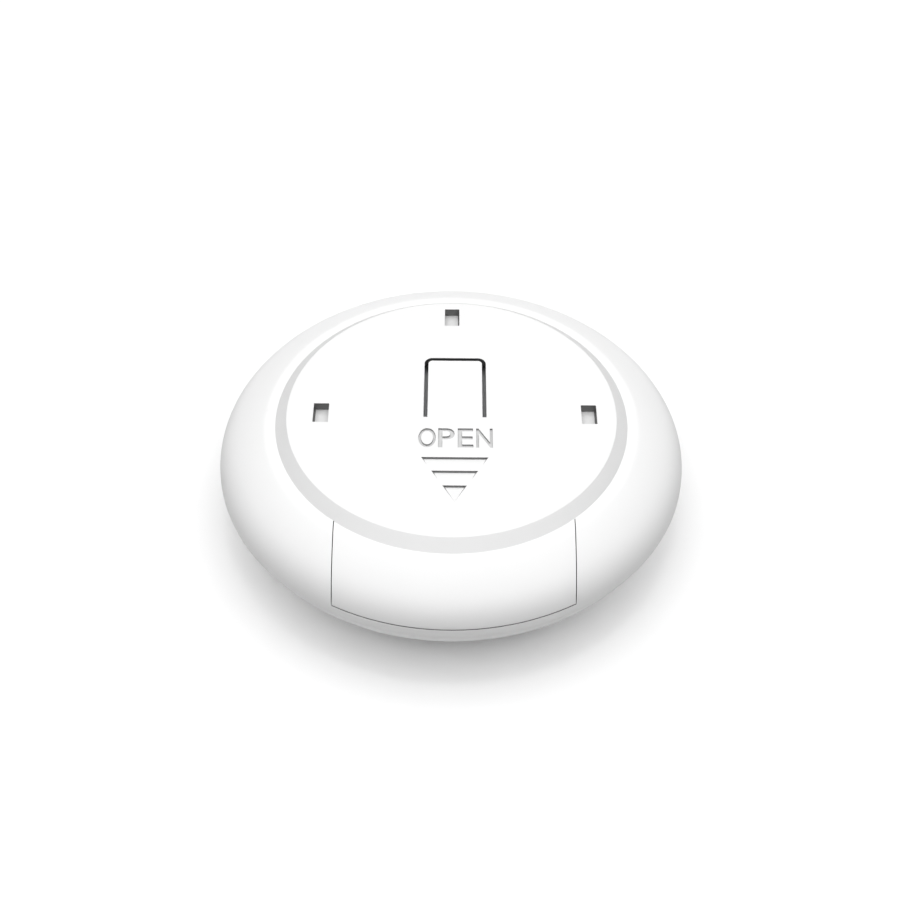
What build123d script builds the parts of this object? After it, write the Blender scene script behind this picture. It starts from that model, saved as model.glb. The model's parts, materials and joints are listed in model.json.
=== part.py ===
from build123d import *
import os
from math import acos, asin, cos, degrees, pi, sin, sqrt

# A round wireless push button, lying on its button face with its battery cover up.
# Millimetres. Z = 0 is the surface it lies on, X = Y = 0 is the body's axis,
# and the battery cover slides off towards -Y.

# Body
rim_drop = 8.2               # from the cover's face down to the widest line
skirt_drop = 10.3            # from the cover's face down to the rear housing's lower edge
skirt_lean = 1.0             # of the skirt, inwards from the widest line to its lower edge
skirt_round = 0.3
housing_wall = 1.6
crest_width = 1.1            # flat crest around the disc's sloping edge
crest_setback = 10.5         # from the crest's edge in to the centre of the rim's elliptical section
flank_reach = 7.07           # from the crest's edge out to the widest line
deck_thickness = 1.2
slide_axis_x = 0.48          # the cover's centre line lies beside the body's axis

# Battery cover
disc_inset = 1.07            # of the disc's edge behind the inner faces of the contact plates
disc_rise = 1.35             # height of the disc's face above the crest
disc_slope = 1.67            # width of the sloping edge in plan
disc_edge_round = 0.2
plate_lift = 0.1             # running gap between the cover and the deck
sector_wall = 1.3
neck_width = 1.5             # overlap of disc and sector under the disc's edge
seam_room = 0.55             # from the rails' hooks to the seams in the rim
seam_gap = 0.12
notch_inset = 5.23           # from the disc's edge in to the rear wall of the rim's notch
notch_rise = 1.3             # from the widest line up to the notch's floor
sector_floor_gap = 0.1

# Slots in the cover for a wall bracket
slot_width = 2.1
slot_length = 3.6
top_slot_inset = 3.13        # from the disc's edge in to the slot's centre
side_slot_inset = 4.23
side_slot_y = -0.4

# Latch tongue, moulded in the cover
tongue_width = 7.6
tongue_slot = 0.55
tongue_root_y = -1.1
tongue_tip_y = 10.25
tongue_corner = 0.6
tongue_thickness = 1.05
tongue_root_gap = 0.05
nub_width = 2.0
nub_length = 1.0
nub_height = 0.9
nub_setback = 0.3            # from the tongue's tip
catch_gap = 0.1
catch_length = 1.0
catch_setback = 0.4          # from the nub to the catch on the divider

# Arrow of three wedge-shaped recesses
arrow_half_width = 4.53
arrow_base_y = -8.7
arrow_tip_y = -16.7
arrow_depth = 0.5
arrow_bar_shares = [(0.0, 0.17), (0.31, 0.5), (0.64, 1.0)]   # start and end, from base to tip

# Rails under the cover
rail_offset = 1.35           # from the bay's wall to the rail's middle
rail_thickness = 1.1
rail_hook = 0.9
rail_hook_height = 1.1
rail_front_gap = 1.5         # behind the notch's rear wall
rail_rear_y = 8.5
rail_clearance = 0.2

# Two AAA cells
cell_diameter = 10.5
cell_length = 44.5
cell_nub_height = 0.9
cell_nub_diameter = 3.8
cell_sleeve = 0.12
cell_washer = 0.2
cell_clearance = 0.15
cell_headroom = 0.25         # from the cells to the underside of the deck
cell_divider = 1.2
bay_floor = 0.8
bay_wall = 1.0
bay_mouth_inset = 0.8        # from the disc's lower edge to the bay's opening
bay_tab = 0.4                # width of deck kept beside the rear slot
divider_rise = 4.0           # above the cells' axes
bay_front_rise = 3.85        # height of the bay's front walls above the cells' axes
bay_end_wall = 0.6

# Battery contacts
spring_room = 3.05           # from a cell's flat end to its contact plate
contact_width = 7.0
contact_height = 6.0
contact_thickness = 0.3
contact_touch = 0.05
contact_slack = 0.1
contact_round = 1.0
contact_tail = 1.4
contact_tail_offset = 3.5    # from a cell's axis towards the cover's centre line
pocket_wall = 0.7
shoulder_gap = 0.25
spring_wire = 0.5
spring_base_radius = 2.8
spring_tip_radius = 1.3
spring_quarters = 12         # quarter turns
points_per_quarter = 12      # at which the gap between turns is measured
spring_touch = 0.03

# Case screws
screw_offset = 3.8           # from the rails' hooks
screw_y = 9.0
screw_head_diameter = 3.8
screw_head_height = 1.3
screw_head_round = 0.43
screw_diameter = 2.2
screw_length = 8.0
screw_clearance = 0.03
screw_sink = 0.3             # from the deck down to the head
screw_head_room = 0.2
screw_hole_room = 0.1
boss_diameter = 6.0
boss_depth = 1.85            # below the deck
column_diameter = 5.0
column_gap = 0.1
cross_width = 0.55
cross_length = 2.2
cross_depth = 0.8

# Front shell
parting_gap = 0.2
parting_setback = 0.47       # of the front shell behind the rear housing's edge
rest_land = 2.3              # width of the ring that the button rests on
flank_bulge = 0.2
rest_round = 1.0
small_round = 0.25
lip_height = 1.2
lip_wall = 1.2
lip_clearance = 0.2
ledge_reach = 5.8            # from the cap's edge in to the ledge's edge
ledge_thickness = 1.0

# Button cap
cap_inset = 2.5              # of the cap's edge behind the inner faces of the contact plates
cap_gap = 0.3
cap_recess = 0.2             # of the cap's rim behind the resting edge
cap_thickness = 1.1
cap_dish = 0.25
cap_land = 1.6               # flat rim around the dish
cap_round = 0.4
cap_travel = 0.25
hook_count = 4
hook_inset = 2.2             # from the cap's edge in to the hooks
hook_width = 3.0
hook_thickness = 1.0
hook_barb = 0.6
hook_barb_height = 0.6
hook_gap = 0.1
hook_window_gap = 0.3
stiffener_inset = 3.0        # inside the light pipe's middle
stiffener_width = 1.0
stiffener_height = 0.4

# Circuit board
board_rim = 0.2              # beyond the rear contact plates
board_edge_gap = 0.44
board_thickness = 0.8
board_gap = 0.1
board_hole_gap = 0.2
board_notch_depth = 1.0

# Button switch
switch_size = 6.2
switch_roof = 0.15
switch_lid = 0.15
plunger_radius = 1.1
plunger_flange = 1.9
plunger_flange_height = 0.2
plunger_stub = 0.4           # below the lid
plunger_gap = 0.1
plunger_room = 0.13          # left over the plunger's flange when it is pressed
lid_gap = 0.02
pad_thickness = 0.25

# Radio module and small parts on the board
module_inset = 6.0           # from the board's edge
module_width = 8.4
module_length = 11.6
module_thickness = 0.8
shield_length = 7.6
shield_height = 1.6
shield_wall = 0.2
shield_margin = 0.5
crystal_width = 2.5
crystal_length = 3.2
crystal_height = 0.8
crystal_inset = 8.4
crystal_y = 3.4
chip_width = 0.8
chip_length = 1.6
chip_height = 0.5
chip_pitch = 2.0
chip_gap = 0.5               # between the ends of neighbouring parts
chip_columns = 3
chip_rows = 3
chip_inset = 5.3
chip_y = -1.8
light_inset = 8.3            # from the cap's edge
light_radius = 0.9
light_flange = 1.5
light_flange_height = 0.4
led_width = 0.8
led_length = 1.6
led_height = 0.5

overrun = 1.0                # by which a cut passes beyond what it cuts

# Levels, from the resting edge up through cap, switch, board, cells, deck and cover
cap_inner_z = cap_recess + cap_thickness
plunger_tip_z = cap_inner_z + pad_thickness
lid_z = plunger_tip_z + plunger_stub
switch_z = lid_z + switch_lid
switch_height = lid_gap + plunger_flange_height + cap_travel + plunger_room + switch_roof
board_z = switch_z + switch_height
board_back_z = board_z + board_thickness
ledge_z = board_z - ledge_thickness
floor_z = board_back_z + board_gap
cell_radius = cell_diameter / 2
channel_radius = cell_radius + cell_clearance
cell_z = floor_z + bay_floor + channel_radius
deck_under_z = cell_z + cell_radius + cell_headroom
deck_z = deck_under_z + deck_thickness
plate_z = deck_z + plate_lift
body_height = deck_z + disc_rise
rim_z = body_height - rim_drop
skirt_z = body_height - skirt_drop
notch_z = rim_z + notch_rise
sector_low_z = notch_z + sector_floor_gap
front_top_z = skirt_z - parting_gap

# Places along and across the cells
contact_y = (cell_length + contact_touch + spring_room) / 2
shoulder_y = contact_y - contact_touch - cell_nub_height
channel_end = shoulder_y + shoulder_gap
pocket_end = contact_y + contact_thickness + contact_slack
cell_offset = channel_radius + cell_divider / 2
cell_x = [slide_axis_x - cell_offset, slide_axis_x + cell_offset]
bay_half = cell_offset + channel_radius
bay_outer = bay_half + bay_wall
pocket_half = cell_offset + contact_width / 2 + contact_slack
rail_centre = bay_outer + rail_offset
rail_inner = rail_centre - rail_thickness / 2
rail_outer = rail_centre + rail_thickness / 2
hook_outer = rail_outer + rail_hook
notch_half = hook_outer + seam_room
sector_width = 2 * notch_half
sector_half = notch_half - seam_gap
screw_x = hook_outer + screw_offset

# Radii that follow from the cells' length
disc_radius = contact_y - disc_inset
disc_base_radius = disc_radius + disc_slope
mouth_radius = disc_base_radius - bay_mouth_inset
notch_start = disc_radius - notch_inset
rail_front_y = rail_front_gap - notch_start
crest_radius = disc_base_radius + crest_width
flank_centre = crest_radius - crest_setback
body_radius = crest_radius + flank_reach
flank_run = body_radius - flank_centre
crest_angle = acos(crest_setback / flank_run)
flank_rise = (deck_z - rim_z) / sin(crest_angle)
inner_run = flank_run - housing_wall
inner_rise = flank_rise - deck_thickness
inner_angle = asin((deck_under_z - rim_z) / inner_rise)
inner_radius = body_radius - housing_wall
front_top_radius = body_radius - skirt_lean - parting_setback
cap_radius = contact_y - cap_inset
rest_radius = cap_radius + cap_gap + rest_land
hook_radius = cap_radius - hook_inset
ledge_radius = cap_radius - ledge_reach
light_y = cap_radius - light_inset
stiffener_radius = light_y - stiffener_inset
board_radius = contact_y + contact_thickness + board_rim
module_x = module_inset - board_radius
crystal_x = board_radius - crystal_inset
chip_x = board_radius - chip_inset
screw_places = [(x, y) for x in (-screw_x, screw_x) for y in (-screw_y, screw_y)]
top_slot_y = disc_radius - top_slot_inset
side_slot_x = disc_radius - side_slot_inset
slot_places = [
    (0, top_slot_y),
    (slide_axis_x - side_slot_x, side_slot_y),
    (slide_axis_x + side_slot_x, side_slot_y),
]

os.makedirs("parts", exist_ok=True)


def save(part, name):
    part.label = name
    export_step(part, f"parts/{name}.step")


def disc_slope_radius(z):
    return disc_radius + (body_height - z) * disc_slope / disc_rise


# Rear housing: outer form, solid
with BuildPart() as rim_form:
    with BuildSketch(Plane.XZ):
        with BuildLine():
            flank = EllipticalCenterArc((flank_centre, rim_z), flank_run, flank_rise, arc_size=degrees(crest_angle))
            Polyline(flank @ 1, (0, deck_z), (0, skirt_z), (body_radius - skirt_lean, skirt_z), flank @ 0)
        make_face()
    revolve(axis=Axis.Z)

# Bench of the notch behind the cover's sector: its floor, side walls and rear wall
with BuildPart() as notch_bench:
    with BuildSketch(Plane.XY.offset(notch_z - housing_wall)):
        with Locations((slide_axis_x, -notch_start + housing_wall)):
            Rectangle(sector_width + 2 * housing_wall, body_radius, align=(Align.CENTER, Align.MAX))
    extrude(amount=deck_z - notch_z + housing_wall)
    add(rim_form.part, mode=Mode.INTERSECT)

# Battery bay, outer form: two round troughs under the deck, and a pocket for contacts at each end
with BuildPart() as bay_form:
    with BuildSketch(Plane.XZ):
        with Locations(*[(x, cell_z) for x in cell_x]):
            Circle(channel_radius + bay_floor)
        with Locations((slide_axis_x, cell_z)):
            Rectangle(2 * bay_outer, deck_under_z - cell_z, align=(Align.CENTER, Align.MIN))
            Rectangle(2 * cell_offset, channel_radius + bay_floor, align=(Align.CENTER, Align.MAX))
    extrude(amount=channel_end + bay_end_wall, both=True)
    with BuildSketch(Plane.XZ):
        with Locations((slide_axis_x, cell_z)):
            Rectangle(
                2 * (pocket_half + pocket_wall),
                contact_height + 2 * (contact_slack + pocket_wall),
            )
    extrude(amount=pocket_end + pocket_wall, both=True)

with BuildPart() as rear_housing:
    add(rim_form.part)
    skirt_edge = rear_housing.edges().filter_by(GeomType.CIRCLE).group_by(Axis.Z)[0]
    fillet(skirt_edge, skirt_round)
    with BuildSketch(Plane.XZ):
        with BuildLine():
            inner = EllipticalCenterArc((flank_centre, rim_z), inner_run, inner_rise, arc_size=degrees(inner_angle))
            Polyline(
                inner @ 1,
                (0, deck_under_z),
                (0, skirt_z - overrun),
                (inner_radius, skirt_z - overrun),
                inner @ 0,
            )
        make_face()
    revolve(axis=Axis.Z, mode=Mode.SUBTRACT)
    add(notch_bench.part)
    # Notch in the rim
    with BuildSketch(Plane.XY.offset(notch_z)):
        with Locations((slide_axis_x, -notch_start)):
            Rectangle(sector_width, body_radius, align=(Align.CENTER, Align.MAX))
    extrude(amount=disc_rise + rim_drop, mode=Mode.SUBTRACT)
    add(bay_form.part)
    # Front of the bay, cut low enough to clear the cover's sector
    with BuildSketch(Plane.XY.offset(cell_z + bay_front_rise)):
        with Locations((slide_axis_x, -notch_start)):
            Rectangle(sector_width, body_radius, align=(Align.CENTER, Align.MAX))
    extrude(amount=body_height, mode=Mode.SUBTRACT)
    # Troughs for the cells, below the deck
    with BuildSketch(Plane.XZ):
        with Locations(*[(x, cell_z) for x in cell_x]):
            Circle(channel_radius)
            Rectangle(2 * channel_radius, deck_under_z - cell_z, align=(Align.CENTER, Align.MIN))
    extrude(amount=channel_end, both=True, mode=Mode.SUBTRACT)
    # The divider ends lower than the cells, so that they can be lifted out
    with BuildSketch(Plane.XY.offset(cell_z + divider_rise)):
        with Locations((slide_axis_x, 0)):
            Rectangle(2 * cell_divider, 2 * channel_end)
    extrude(amount=deck_under_z - cell_z - divider_rise, mode=Mode.SUBTRACT)
    # Contact pockets
    with BuildSketch(Plane.XZ):
        with Locations((slide_axis_x, cell_z)):
            Rectangle(2 * pocket_half, contact_height + 2 * contact_slack)
    extrude(amount=pocket_end, both=True, mode=Mode.SUBTRACT)
    # Slots in the rear pocket's floor for the contacts' tails
    with BuildSketch(Plane.XY.offset(cell_z)):
        with Locations(
            *[
                (x, contact_y + contact_thickness / 2)
                for x in (cell_x[0] + contact_tail_offset, cell_x[1] - contact_tail_offset)
            ]
        ):
            Rectangle(contact_tail + 2 * contact_slack, contact_thickness + 2 * contact_slack)
    extrude(amount=-contact_height, mode=Mode.SUBTRACT)
    # Mouth of the bay in the deck, kept inside the disc, with a tab left under the rear slot
    with BuildSketch(Plane.XY.offset(deck_under_z)) as mouth:
        with Locations((slide_axis_x, -notch_start - overrun)):
            Rectangle(2 * bay_half, 2 * body_radius, align=(Align.CENTER, Align.MIN))
        Circle(mouth_radius, mode=Mode.INTERSECT)
        with Locations((0, top_slot_y - slot_length / 2 - bay_tab)):
            Rectangle(
                slot_width + 2 * bay_tab,
                body_radius,
                align=(Align.CENTER, Align.MIN),
                mode=Mode.SUBTRACT,
            )
    extrude(amount=deck_thickness + overrun, mode=Mode.SUBTRACT)
    # Slots in the deck for the cover's rails, open to the notch
    with BuildSketch(Plane.XY.offset(deck_under_z - rail_hook_height - 2 * rail_clearance)):
        for side in (-1, 1):
            with Locations((slide_axis_x + side * rail_centre, rail_rear_y + 2 * rail_clearance)):
                Rectangle(
                    rail_thickness + 2 * rail_clearance,
                    notch_start + rail_rear_y + body_radius,
                    align=(Align.CENTER, Align.MAX),
                )
    extrude(amount=deck_z, mode=Mode.SUBTRACT)
    # Gates for the rails' hooks in the notch's rear wall
    with BuildSketch(Plane.XY.offset(deck_under_z - rail_hook_height - 2 * rail_clearance)):
        for side in (-1, 1):
            with Locations((slide_axis_x + side * (rail_outer + rail_hook / 2), -notch_start)):
                Rectangle(rail_hook + 2 * rail_clearance, 2 * housing_wall + overrun)
    extrude(amount=rail_hook_height + 2 * rail_clearance, mode=Mode.SUBTRACT)
    # Screw bosses
    with BuildSketch(Plane.XY.offset(deck_under_z - boss_depth)):
        with Locations(*screw_places):
            Circle(boss_diameter / 2)
    extrude(amount=boss_depth + deck_thickness / 2)
    with BuildSketch(Plane.XY.offset(deck_z - screw_sink - screw_head_height)):
        with Locations(*screw_places):
            Circle(screw_head_diameter / 2 + screw_head_room)
    extrude(amount=screw_head_height + body_height, mode=Mode.SUBTRACT)
    with BuildSketch(Plane.XY.offset(rim_z)):
        with Locations(*screw_places):
            Circle(screw_diameter / 2 + screw_hole_room)
    extrude(amount=body_height, mode=Mode.SUBTRACT)
    # Catch on the divider, in front of the latch's nub
    nub_y = tongue_tip_y - nub_setback - nub_length
    nub_z = body_height - tongue_thickness - nub_height
    with BuildSketch(Plane.XY.offset(cell_z)):
        with Locations((slide_axis_x, nub_y - catch_setback - catch_length)):
            Rectangle(cell_divider, catch_length, align=(Align.CENTER, Align.MIN))
    extrude(amount=nub_z - catch_gap - cell_z)
save(rear_housing.part, "rear_housing")

# Battery cover: disc and front sector in one moulding, with the latch cut free
with BuildPart() as sector_form:
    with BuildSketch(Plane.XZ):
        with BuildLine():
            outer = EllipticalCenterArc((flank_centre, rim_z), flank_run, flank_rise, arc_size=degrees(crest_angle))
            sector_run = flank_run - sector_wall
            neck_radius = disc_base_radius - neck_width
            neck_angle = acos((neck_radius - flank_centre) / sector_run)
            sector_rise = (deck_z - sector_wall - rim_z) / sin(neck_angle)
            under = EllipticalCenterArc((flank_centre, rim_z), sector_run, sector_rise, arc_size=degrees(neck_angle))
            bond_z = plate_z + disc_edge_round
            Polyline(
                outer @ 1,
                (disc_base_radius, deck_z),
                (disc_slope_radius(bond_z), bond_z),
                (neck_radius, bond_z),
                under @ 1,
            )
            Line(under @ 0, outer @ 0)
        make_face()
    revolve(axis=Axis.Z)
    with BuildSketch(Plane.XY.offset(sector_low_z)):
        with Locations((slide_axis_x, -notch_start - seam_gap)):
            Rectangle(2 * sector_half, body_radius, align=(Align.CENTER, Align.MAX))
    extrude(amount=body_height, mode=Mode.INTERSECT)

# Wedges of the arrow: deep at their rear edge and running out at the front
with BuildPart() as arrow_cutter:
    arrow_length = arrow_base_y - arrow_tip_y
    for start_share, end_share in arrow_bar_shares:
        with BuildSketch(Plane.YZ.offset(slide_axis_x)):
            with BuildLine():
                rear_y = arrow_base_y - start_share * arrow_length
                front_y = arrow_base_y - end_share * arrow_length
                Polyline(
                    (rear_y, body_height - arrow_depth),
                    (front_y, body_height),
                    (rear_y, body_height),
                    close=True,
                )
            make_face()
        extrude(amount=arrow_half_width, both=True)
    with BuildSketch(Plane.XY):
        with BuildLine():
            Polyline(
                (slide_axis_x - arrow_half_width, arrow_base_y),
                (slide_axis_x, arrow_tip_y),
                (slide_axis_x + arrow_half_width, arrow_base_y),
                close=True,
            )
        make_face()
    extrude(amount=body_height, mode=Mode.INTERSECT)

with BuildPart() as battery_cover:
    with BuildSketch(Plane.XZ):
        with BuildLine():
            Polyline(
                (0, plate_z),
                (disc_slope_radius(plate_z), plate_z),
                (disc_radius, body_height),
                (0, body_height),
                close=True,
            )
        make_face()
    revolve(axis=Axis.Z)
    fillet(battery_cover.edges().filter_by(GeomType.CIRCLE).group_by(Axis.Z)[-1], disc_edge_round)
    add(sector_form.part)
    # Opening around the latch tongue
    with BuildSketch(Plane.XY) as latch_opening:
        with Locations((slide_axis_x, tongue_root_y)):
            Rectangle(
                tongue_width + 2 * tongue_slot,
                tongue_tip_y + tongue_slot - tongue_root_y,
                align=(Align.CENTER, Align.MIN),
            )
        fillet(latch_opening.vertices().group_by(Axis.Y)[-1], tongue_corner + tongue_slot)
    extrude(amount=body_height + overrun, mode=Mode.SUBTRACT)
    # Slots for a wall bracket
    with BuildSketch(Plane.XY):
        with Locations(*slot_places):
            Rectangle(slot_width, slot_length)
    extrude(amount=body_height + overrun, mode=Mode.SUBTRACT)
    add(arrow_cutter.part, mode=Mode.SUBTRACT)
    # Rails with outward hooks that run under the deck
    for side in (-1, 1):
        with BuildSketch(Plane.XZ.offset(-rail_rear_y)):
            with BuildLine():
                inner_x = slide_axis_x + side * rail_inner
                outer_x = slide_axis_x + side * rail_outer
                hook_x = slide_axis_x + side * hook_outer
                hook_top_z = deck_under_z - rail_clearance
                hook_low_z = hook_top_z - rail_hook_height
                rail_top_z = plate_z + sector_wall / 2
                Polyline(
                    (inner_x, rail_top_z),
                    (inner_x, hook_low_z),
                    (hook_x, hook_low_z),
                    (hook_x, hook_top_z),
                    (outer_x, hook_top_z),
                    (outer_x, rail_top_z),
                    close=True,
                )
            make_face()
        extrude(amount=rail_rear_y - rail_front_y)
save(battery_cover.part, "battery_cover")

with BuildPart() as latch_tongue:
    with BuildSketch(Plane.XY.offset(body_height - tongue_thickness)) as tongue_outline:
        with Locations((slide_axis_x, tongue_root_y + tongue_root_gap)):
            Rectangle(
                tongue_width,
                tongue_tip_y - tongue_root_y - tongue_root_gap,
                align=(Align.CENTER, Align.MIN),
            )
        fillet(tongue_outline.vertices().group_by(Axis.Y)[-1], tongue_corner)
    extrude(amount=tongue_thickness)
    with BuildSketch(Plane.XY.offset(nub_z)):
        with Locations((slide_axis_x, nub_y)):
            Rectangle(nub_width, nub_length, align=(Align.CENTER, Align.MIN))
    extrude(amount=nub_height)
save(latch_tongue.part, "latch_tongue")

# Front shell: sloping flank, resting edge, ledge for the board and columns for the screws
ledge_outer = board_radius + board_edge_gap
lip_outer = inner_radius - lip_clearance
with BuildPart() as front_shell:
    with BuildSketch(Plane.XZ):
        with BuildLine():
            SagittaArc((rest_radius, 0), (front_top_radius, front_top_z), -flank_bulge)
            Polyline(
                (front_top_radius, front_top_z),
                (lip_outer, front_top_z),
                (lip_outer, skirt_z + lip_height),
                (lip_outer - lip_wall, skirt_z + lip_height),
                (lip_outer - lip_wall, front_top_z),
                (ledge_outer, board_z),
                (ledge_radius, board_z),
                (ledge_radius, ledge_z),
                (cap_radius + cap_gap, ledge_z),
                (cap_radius + cap_gap, 0),
                (rest_radius, 0),
            )
        make_face()
    revolve(axis=Axis.Z)
    rest_edges = front_shell.edges().filter_by(GeomType.CIRCLE).group_by(Axis.Z)[0].sort_by(SortBy.RADIUS)
    fillet(rest_edges[-1], rest_round)
    rest_edges = front_shell.edges().filter_by(GeomType.CIRCLE).group_by(Axis.Z)[0].sort_by(SortBy.RADIUS)
    fillet(rest_edges[0], small_round)
    column_top_z = deck_under_z - boss_depth - column_gap
    with BuildSketch(Plane.XY.offset(ledge_z)):
        with Locations(*screw_places):
            Circle(column_diameter / 2)
    extrude(amount=column_top_z - ledge_z)
    screw_tip_z = deck_z - screw_sink - screw_head_height - screw_length
    with BuildSketch(Plane.XY.offset(screw_tip_z - screw_diameter / 2)):
        with Locations(*screw_places):
            Circle(screw_diameter / 2 + screw_clearance)
    extrude(amount=body_height, mode=Mode.SUBTRACT)
    with BuildSketch(Plane.XY.offset(ledge_z)):
        with PolarLocations(hook_radius, hook_count, start_angle=45):
            Rectangle(hook_thickness + 2 * hook_window_gap, hook_width + 2 * hook_window_gap)
    extrude(amount=ledge_thickness, mode=Mode.SUBTRACT)
save(front_shell.part, "front_shell")

# Button cap: a dished disc with hooks that keep it in the front shell
with BuildPart() as button_cap:
    with BuildSketch(Plane.XZ):
        with BuildLine():
            dish_radius = cap_radius - cap_land
            TangentArc((0, cap_recess + cap_dish), (dish_radius, cap_recess), tangent=(1, 0))
            Polyline(
                (dish_radius, cap_recess),
                (cap_radius, cap_recess),
                (cap_radius, cap_inner_z),
                (0, cap_inner_z),
                (0, cap_recess + cap_dish),
            )
        make_face()
    revolve(axis=Axis.Z)
    rim_edge = button_cap.edges().filter_by(GeomType.CIRCLE).group_by(Axis.Z)[0].sort_by(SortBy.RADIUS)[-1]
    fillet(rim_edge, cap_round)
    barb_z = board_z + hook_gap
    hook_top_z = barb_z + hook_barb_height
    for number in range(hook_count):
        turn = 2 * pi * (number + 0.5) / hook_count
        radial = Plane(origin=(0, 0, 0), x_dir=(cos(turn), sin(turn), 0), z_dir=(sin(turn), -cos(turn), 0))
        with BuildSketch(radial):
            with BuildLine():
                hook_inner = hook_radius - hook_thickness / 2
                hook_face = hook_radius + hook_thickness / 2
                Polyline(
                    (hook_inner, cap_inner_z),
                    (hook_face, cap_inner_z),
                    (hook_face, barb_z),
                    (hook_face + hook_barb, barb_z),
                    (hook_face, hook_top_z),
                    (hook_inner, hook_top_z),
                    close=True,
                )
            make_face()
        extrude(amount=hook_width / 2, both=True)
    with BuildSketch(Plane.XY.offset(cap_inner_z)):
        Circle(stiffener_radius)
        Circle(stiffener_radius - stiffener_width, mode=Mode.SUBTRACT)
    extrude(amount=stiffener_height)
    with BuildSketch(Plane.XY):
        with Locations((0, light_y)):
            Circle(light_radius + lid_gap)
    extrude(amount=cap_inner_z, mode=Mode.SUBTRACT)
save(button_cap.part, "button_cap")

with BuildPart() as light_pipe:
    with BuildSketch(Plane.XY.offset(cap_recess + cap_dish)):
        with Locations((0, light_y)):
            Circle(light_radius)
    extrude(amount=cap_inner_z - cap_recess - cap_dish)
    with BuildSketch(Plane.XY.offset(cap_inner_z)):
        with Locations((0, light_y)):
            Circle(light_flange)
    extrude(amount=light_flange_height)
save(light_pipe.part, "light_pipe")

# Soft pad between the cap and the switch's plunger
with BuildPart() as actuator_pad:
    with BuildSketch(Plane.XY.offset(cap_inner_z)):
        Circle(plunger_radius + plunger_flange)
    extrude(amount=pad_thickness)
save(actuator_pad.part, "actuator_pad")

with BuildPart() as switch_base:
    with BuildSketch(Plane.XY.offset(switch_z)):
        Rectangle(switch_size, switch_size)
    extrude(amount=switch_height)
    with BuildSketch(Plane.XY.offset(switch_z)):
        Circle(plunger_flange + plunger_gap)
    extrude(amount=switch_height - switch_roof, mode=Mode.SUBTRACT)
save(switch_base.part, "switch_base")

with BuildPart() as switch_lid_plate:
    with BuildSketch(Plane.XY.offset(lid_z)):
        Rectangle(switch_size, switch_size)
        Circle(plunger_radius + plunger_gap, mode=Mode.SUBTRACT)
    extrude(amount=switch_lid)
save(switch_lid_plate.part, "switch_lid")

with BuildPart() as switch_plunger:
    with BuildSketch(Plane.XY.offset(plunger_tip_z)):
        Circle(plunger_radius)
    extrude(amount=switch_z + lid_gap - plunger_tip_z)
    with BuildSketch(Plane.XY.offset(switch_z + lid_gap)):
        Circle(plunger_flange)
    extrude(amount=plunger_flange_height)
save(switch_plunger.part, "switch_plunger")

# Circuit board, with holes for the screw columns and notches for hooks and contact tails
with BuildPart() as circuit_board:
    with BuildSketch(Plane.XY.offset(board_z)):
        Circle(board_radius)
        with Locations(*screw_places):
            Circle(column_diameter / 2 + board_hole_gap, mode=Mode.SUBTRACT)
        with PolarLocations(hook_radius + hook_barb / 2, hook_count, start_angle=45):
            Rectangle(
                hook_thickness + hook_barb + 2 * hook_window_gap,
                hook_width + 2 * hook_window_gap,
                mode=Mode.SUBTRACT,
            )
        with Locations(
            *[
                (x, contact_y + contact_thickness - board_notch_depth / 2)
                for x in (cell_x[0] + contact_tail_offset, cell_x[1] - contact_tail_offset)
            ]
        ):
            Rectangle(contact_tail + 2 * contact_slack, 2 * board_notch_depth, mode=Mode.SUBTRACT)
    extrude(amount=board_thickness)
save(circuit_board.part, "circuit_board")

with BuildPart() as radio_module:
    with BuildSketch(Plane.XY.offset(board_back_z)):
        with Locations((module_x, 0)):
            Rectangle(module_width, module_length)
    extrude(amount=module_thickness)
save(radio_module.part, "radio_module")

module_top_z = board_back_z + module_thickness
shield_y = (shield_length - module_length) / 2 + shield_margin
with BuildPart() as shield_can:
    with BuildSketch(Plane.XY.offset(module_top_z)):
        with Locations((module_x, shield_y)):
            Rectangle(module_width - 2 * shield_margin, shield_length)
    extrude(amount=shield_height)
    fillet(shield_can.edges().filter_by(Axis.Z), small_round)
    with BuildSketch(Plane.XY.offset(module_top_z)):
        with Locations((module_x, shield_y)):
            Rectangle(module_width - 2 * shield_margin - 2 * shield_wall, shield_length - 2 * shield_wall)
    extrude(amount=shield_height - shield_wall, mode=Mode.SUBTRACT)
save(shield_can.part, "shield_can")

with BuildPart() as crystal:
    with BuildSketch(Plane.XY.offset(board_back_z)):
        with Locations((crystal_x, crystal_y)):
            RectangleRounded(crystal_width, crystal_length, small_round)
    extrude(amount=crystal_height)
save(crystal.part, "crystal")

with BuildPart() as chip_parts:
    with BuildSketch(Plane.XY.offset(board_back_z)):
        with Locations((chip_x, chip_y)):
            with GridLocations(chip_pitch, chip_length + chip_gap, chip_columns, chip_rows):
                Rectangle(chip_width, chip_length)
    extrude(amount=chip_height)
save(chip_parts.part, "chip_parts")

with BuildPart() as status_led:
    with BuildSketch(Plane.XY.offset(board_z - led_height)):
        with Locations((0, light_y)):
            Rectangle(led_length, led_width)
    extrude(amount=led_height)
save(status_led.part, "status_led")


# Battery contacts: thin plates in the pockets, the rear ones with a tail down to the board
def plate_outline(places, depth):
    with BuildSketch(Plane.XZ.offset(depth)) as outline:
        with Locations(*[(x, cell_z) for x in places]):
            RectangleRounded(contact_width, contact_height, contact_round)
    return outline.sketch


def tail_outline(place):
    with BuildSketch(Plane.XZ.offset(-contact_y - contact_thickness)) as outline:
        with Locations((place, cell_z)):
            Rectangle(contact_tail, cell_z - board_z - small_round, align=(Align.CENTER, Align.MAX))
    return outline.sketch


with BuildPart() as positive_contact:
    extrude(plate_outline([cell_x[0]], -contact_y - contact_thickness), amount=contact_thickness)
    extrude(tail_outline(cell_x[0] + contact_tail_offset), amount=contact_thickness)
save(positive_contact.part, "positive_contact")

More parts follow.
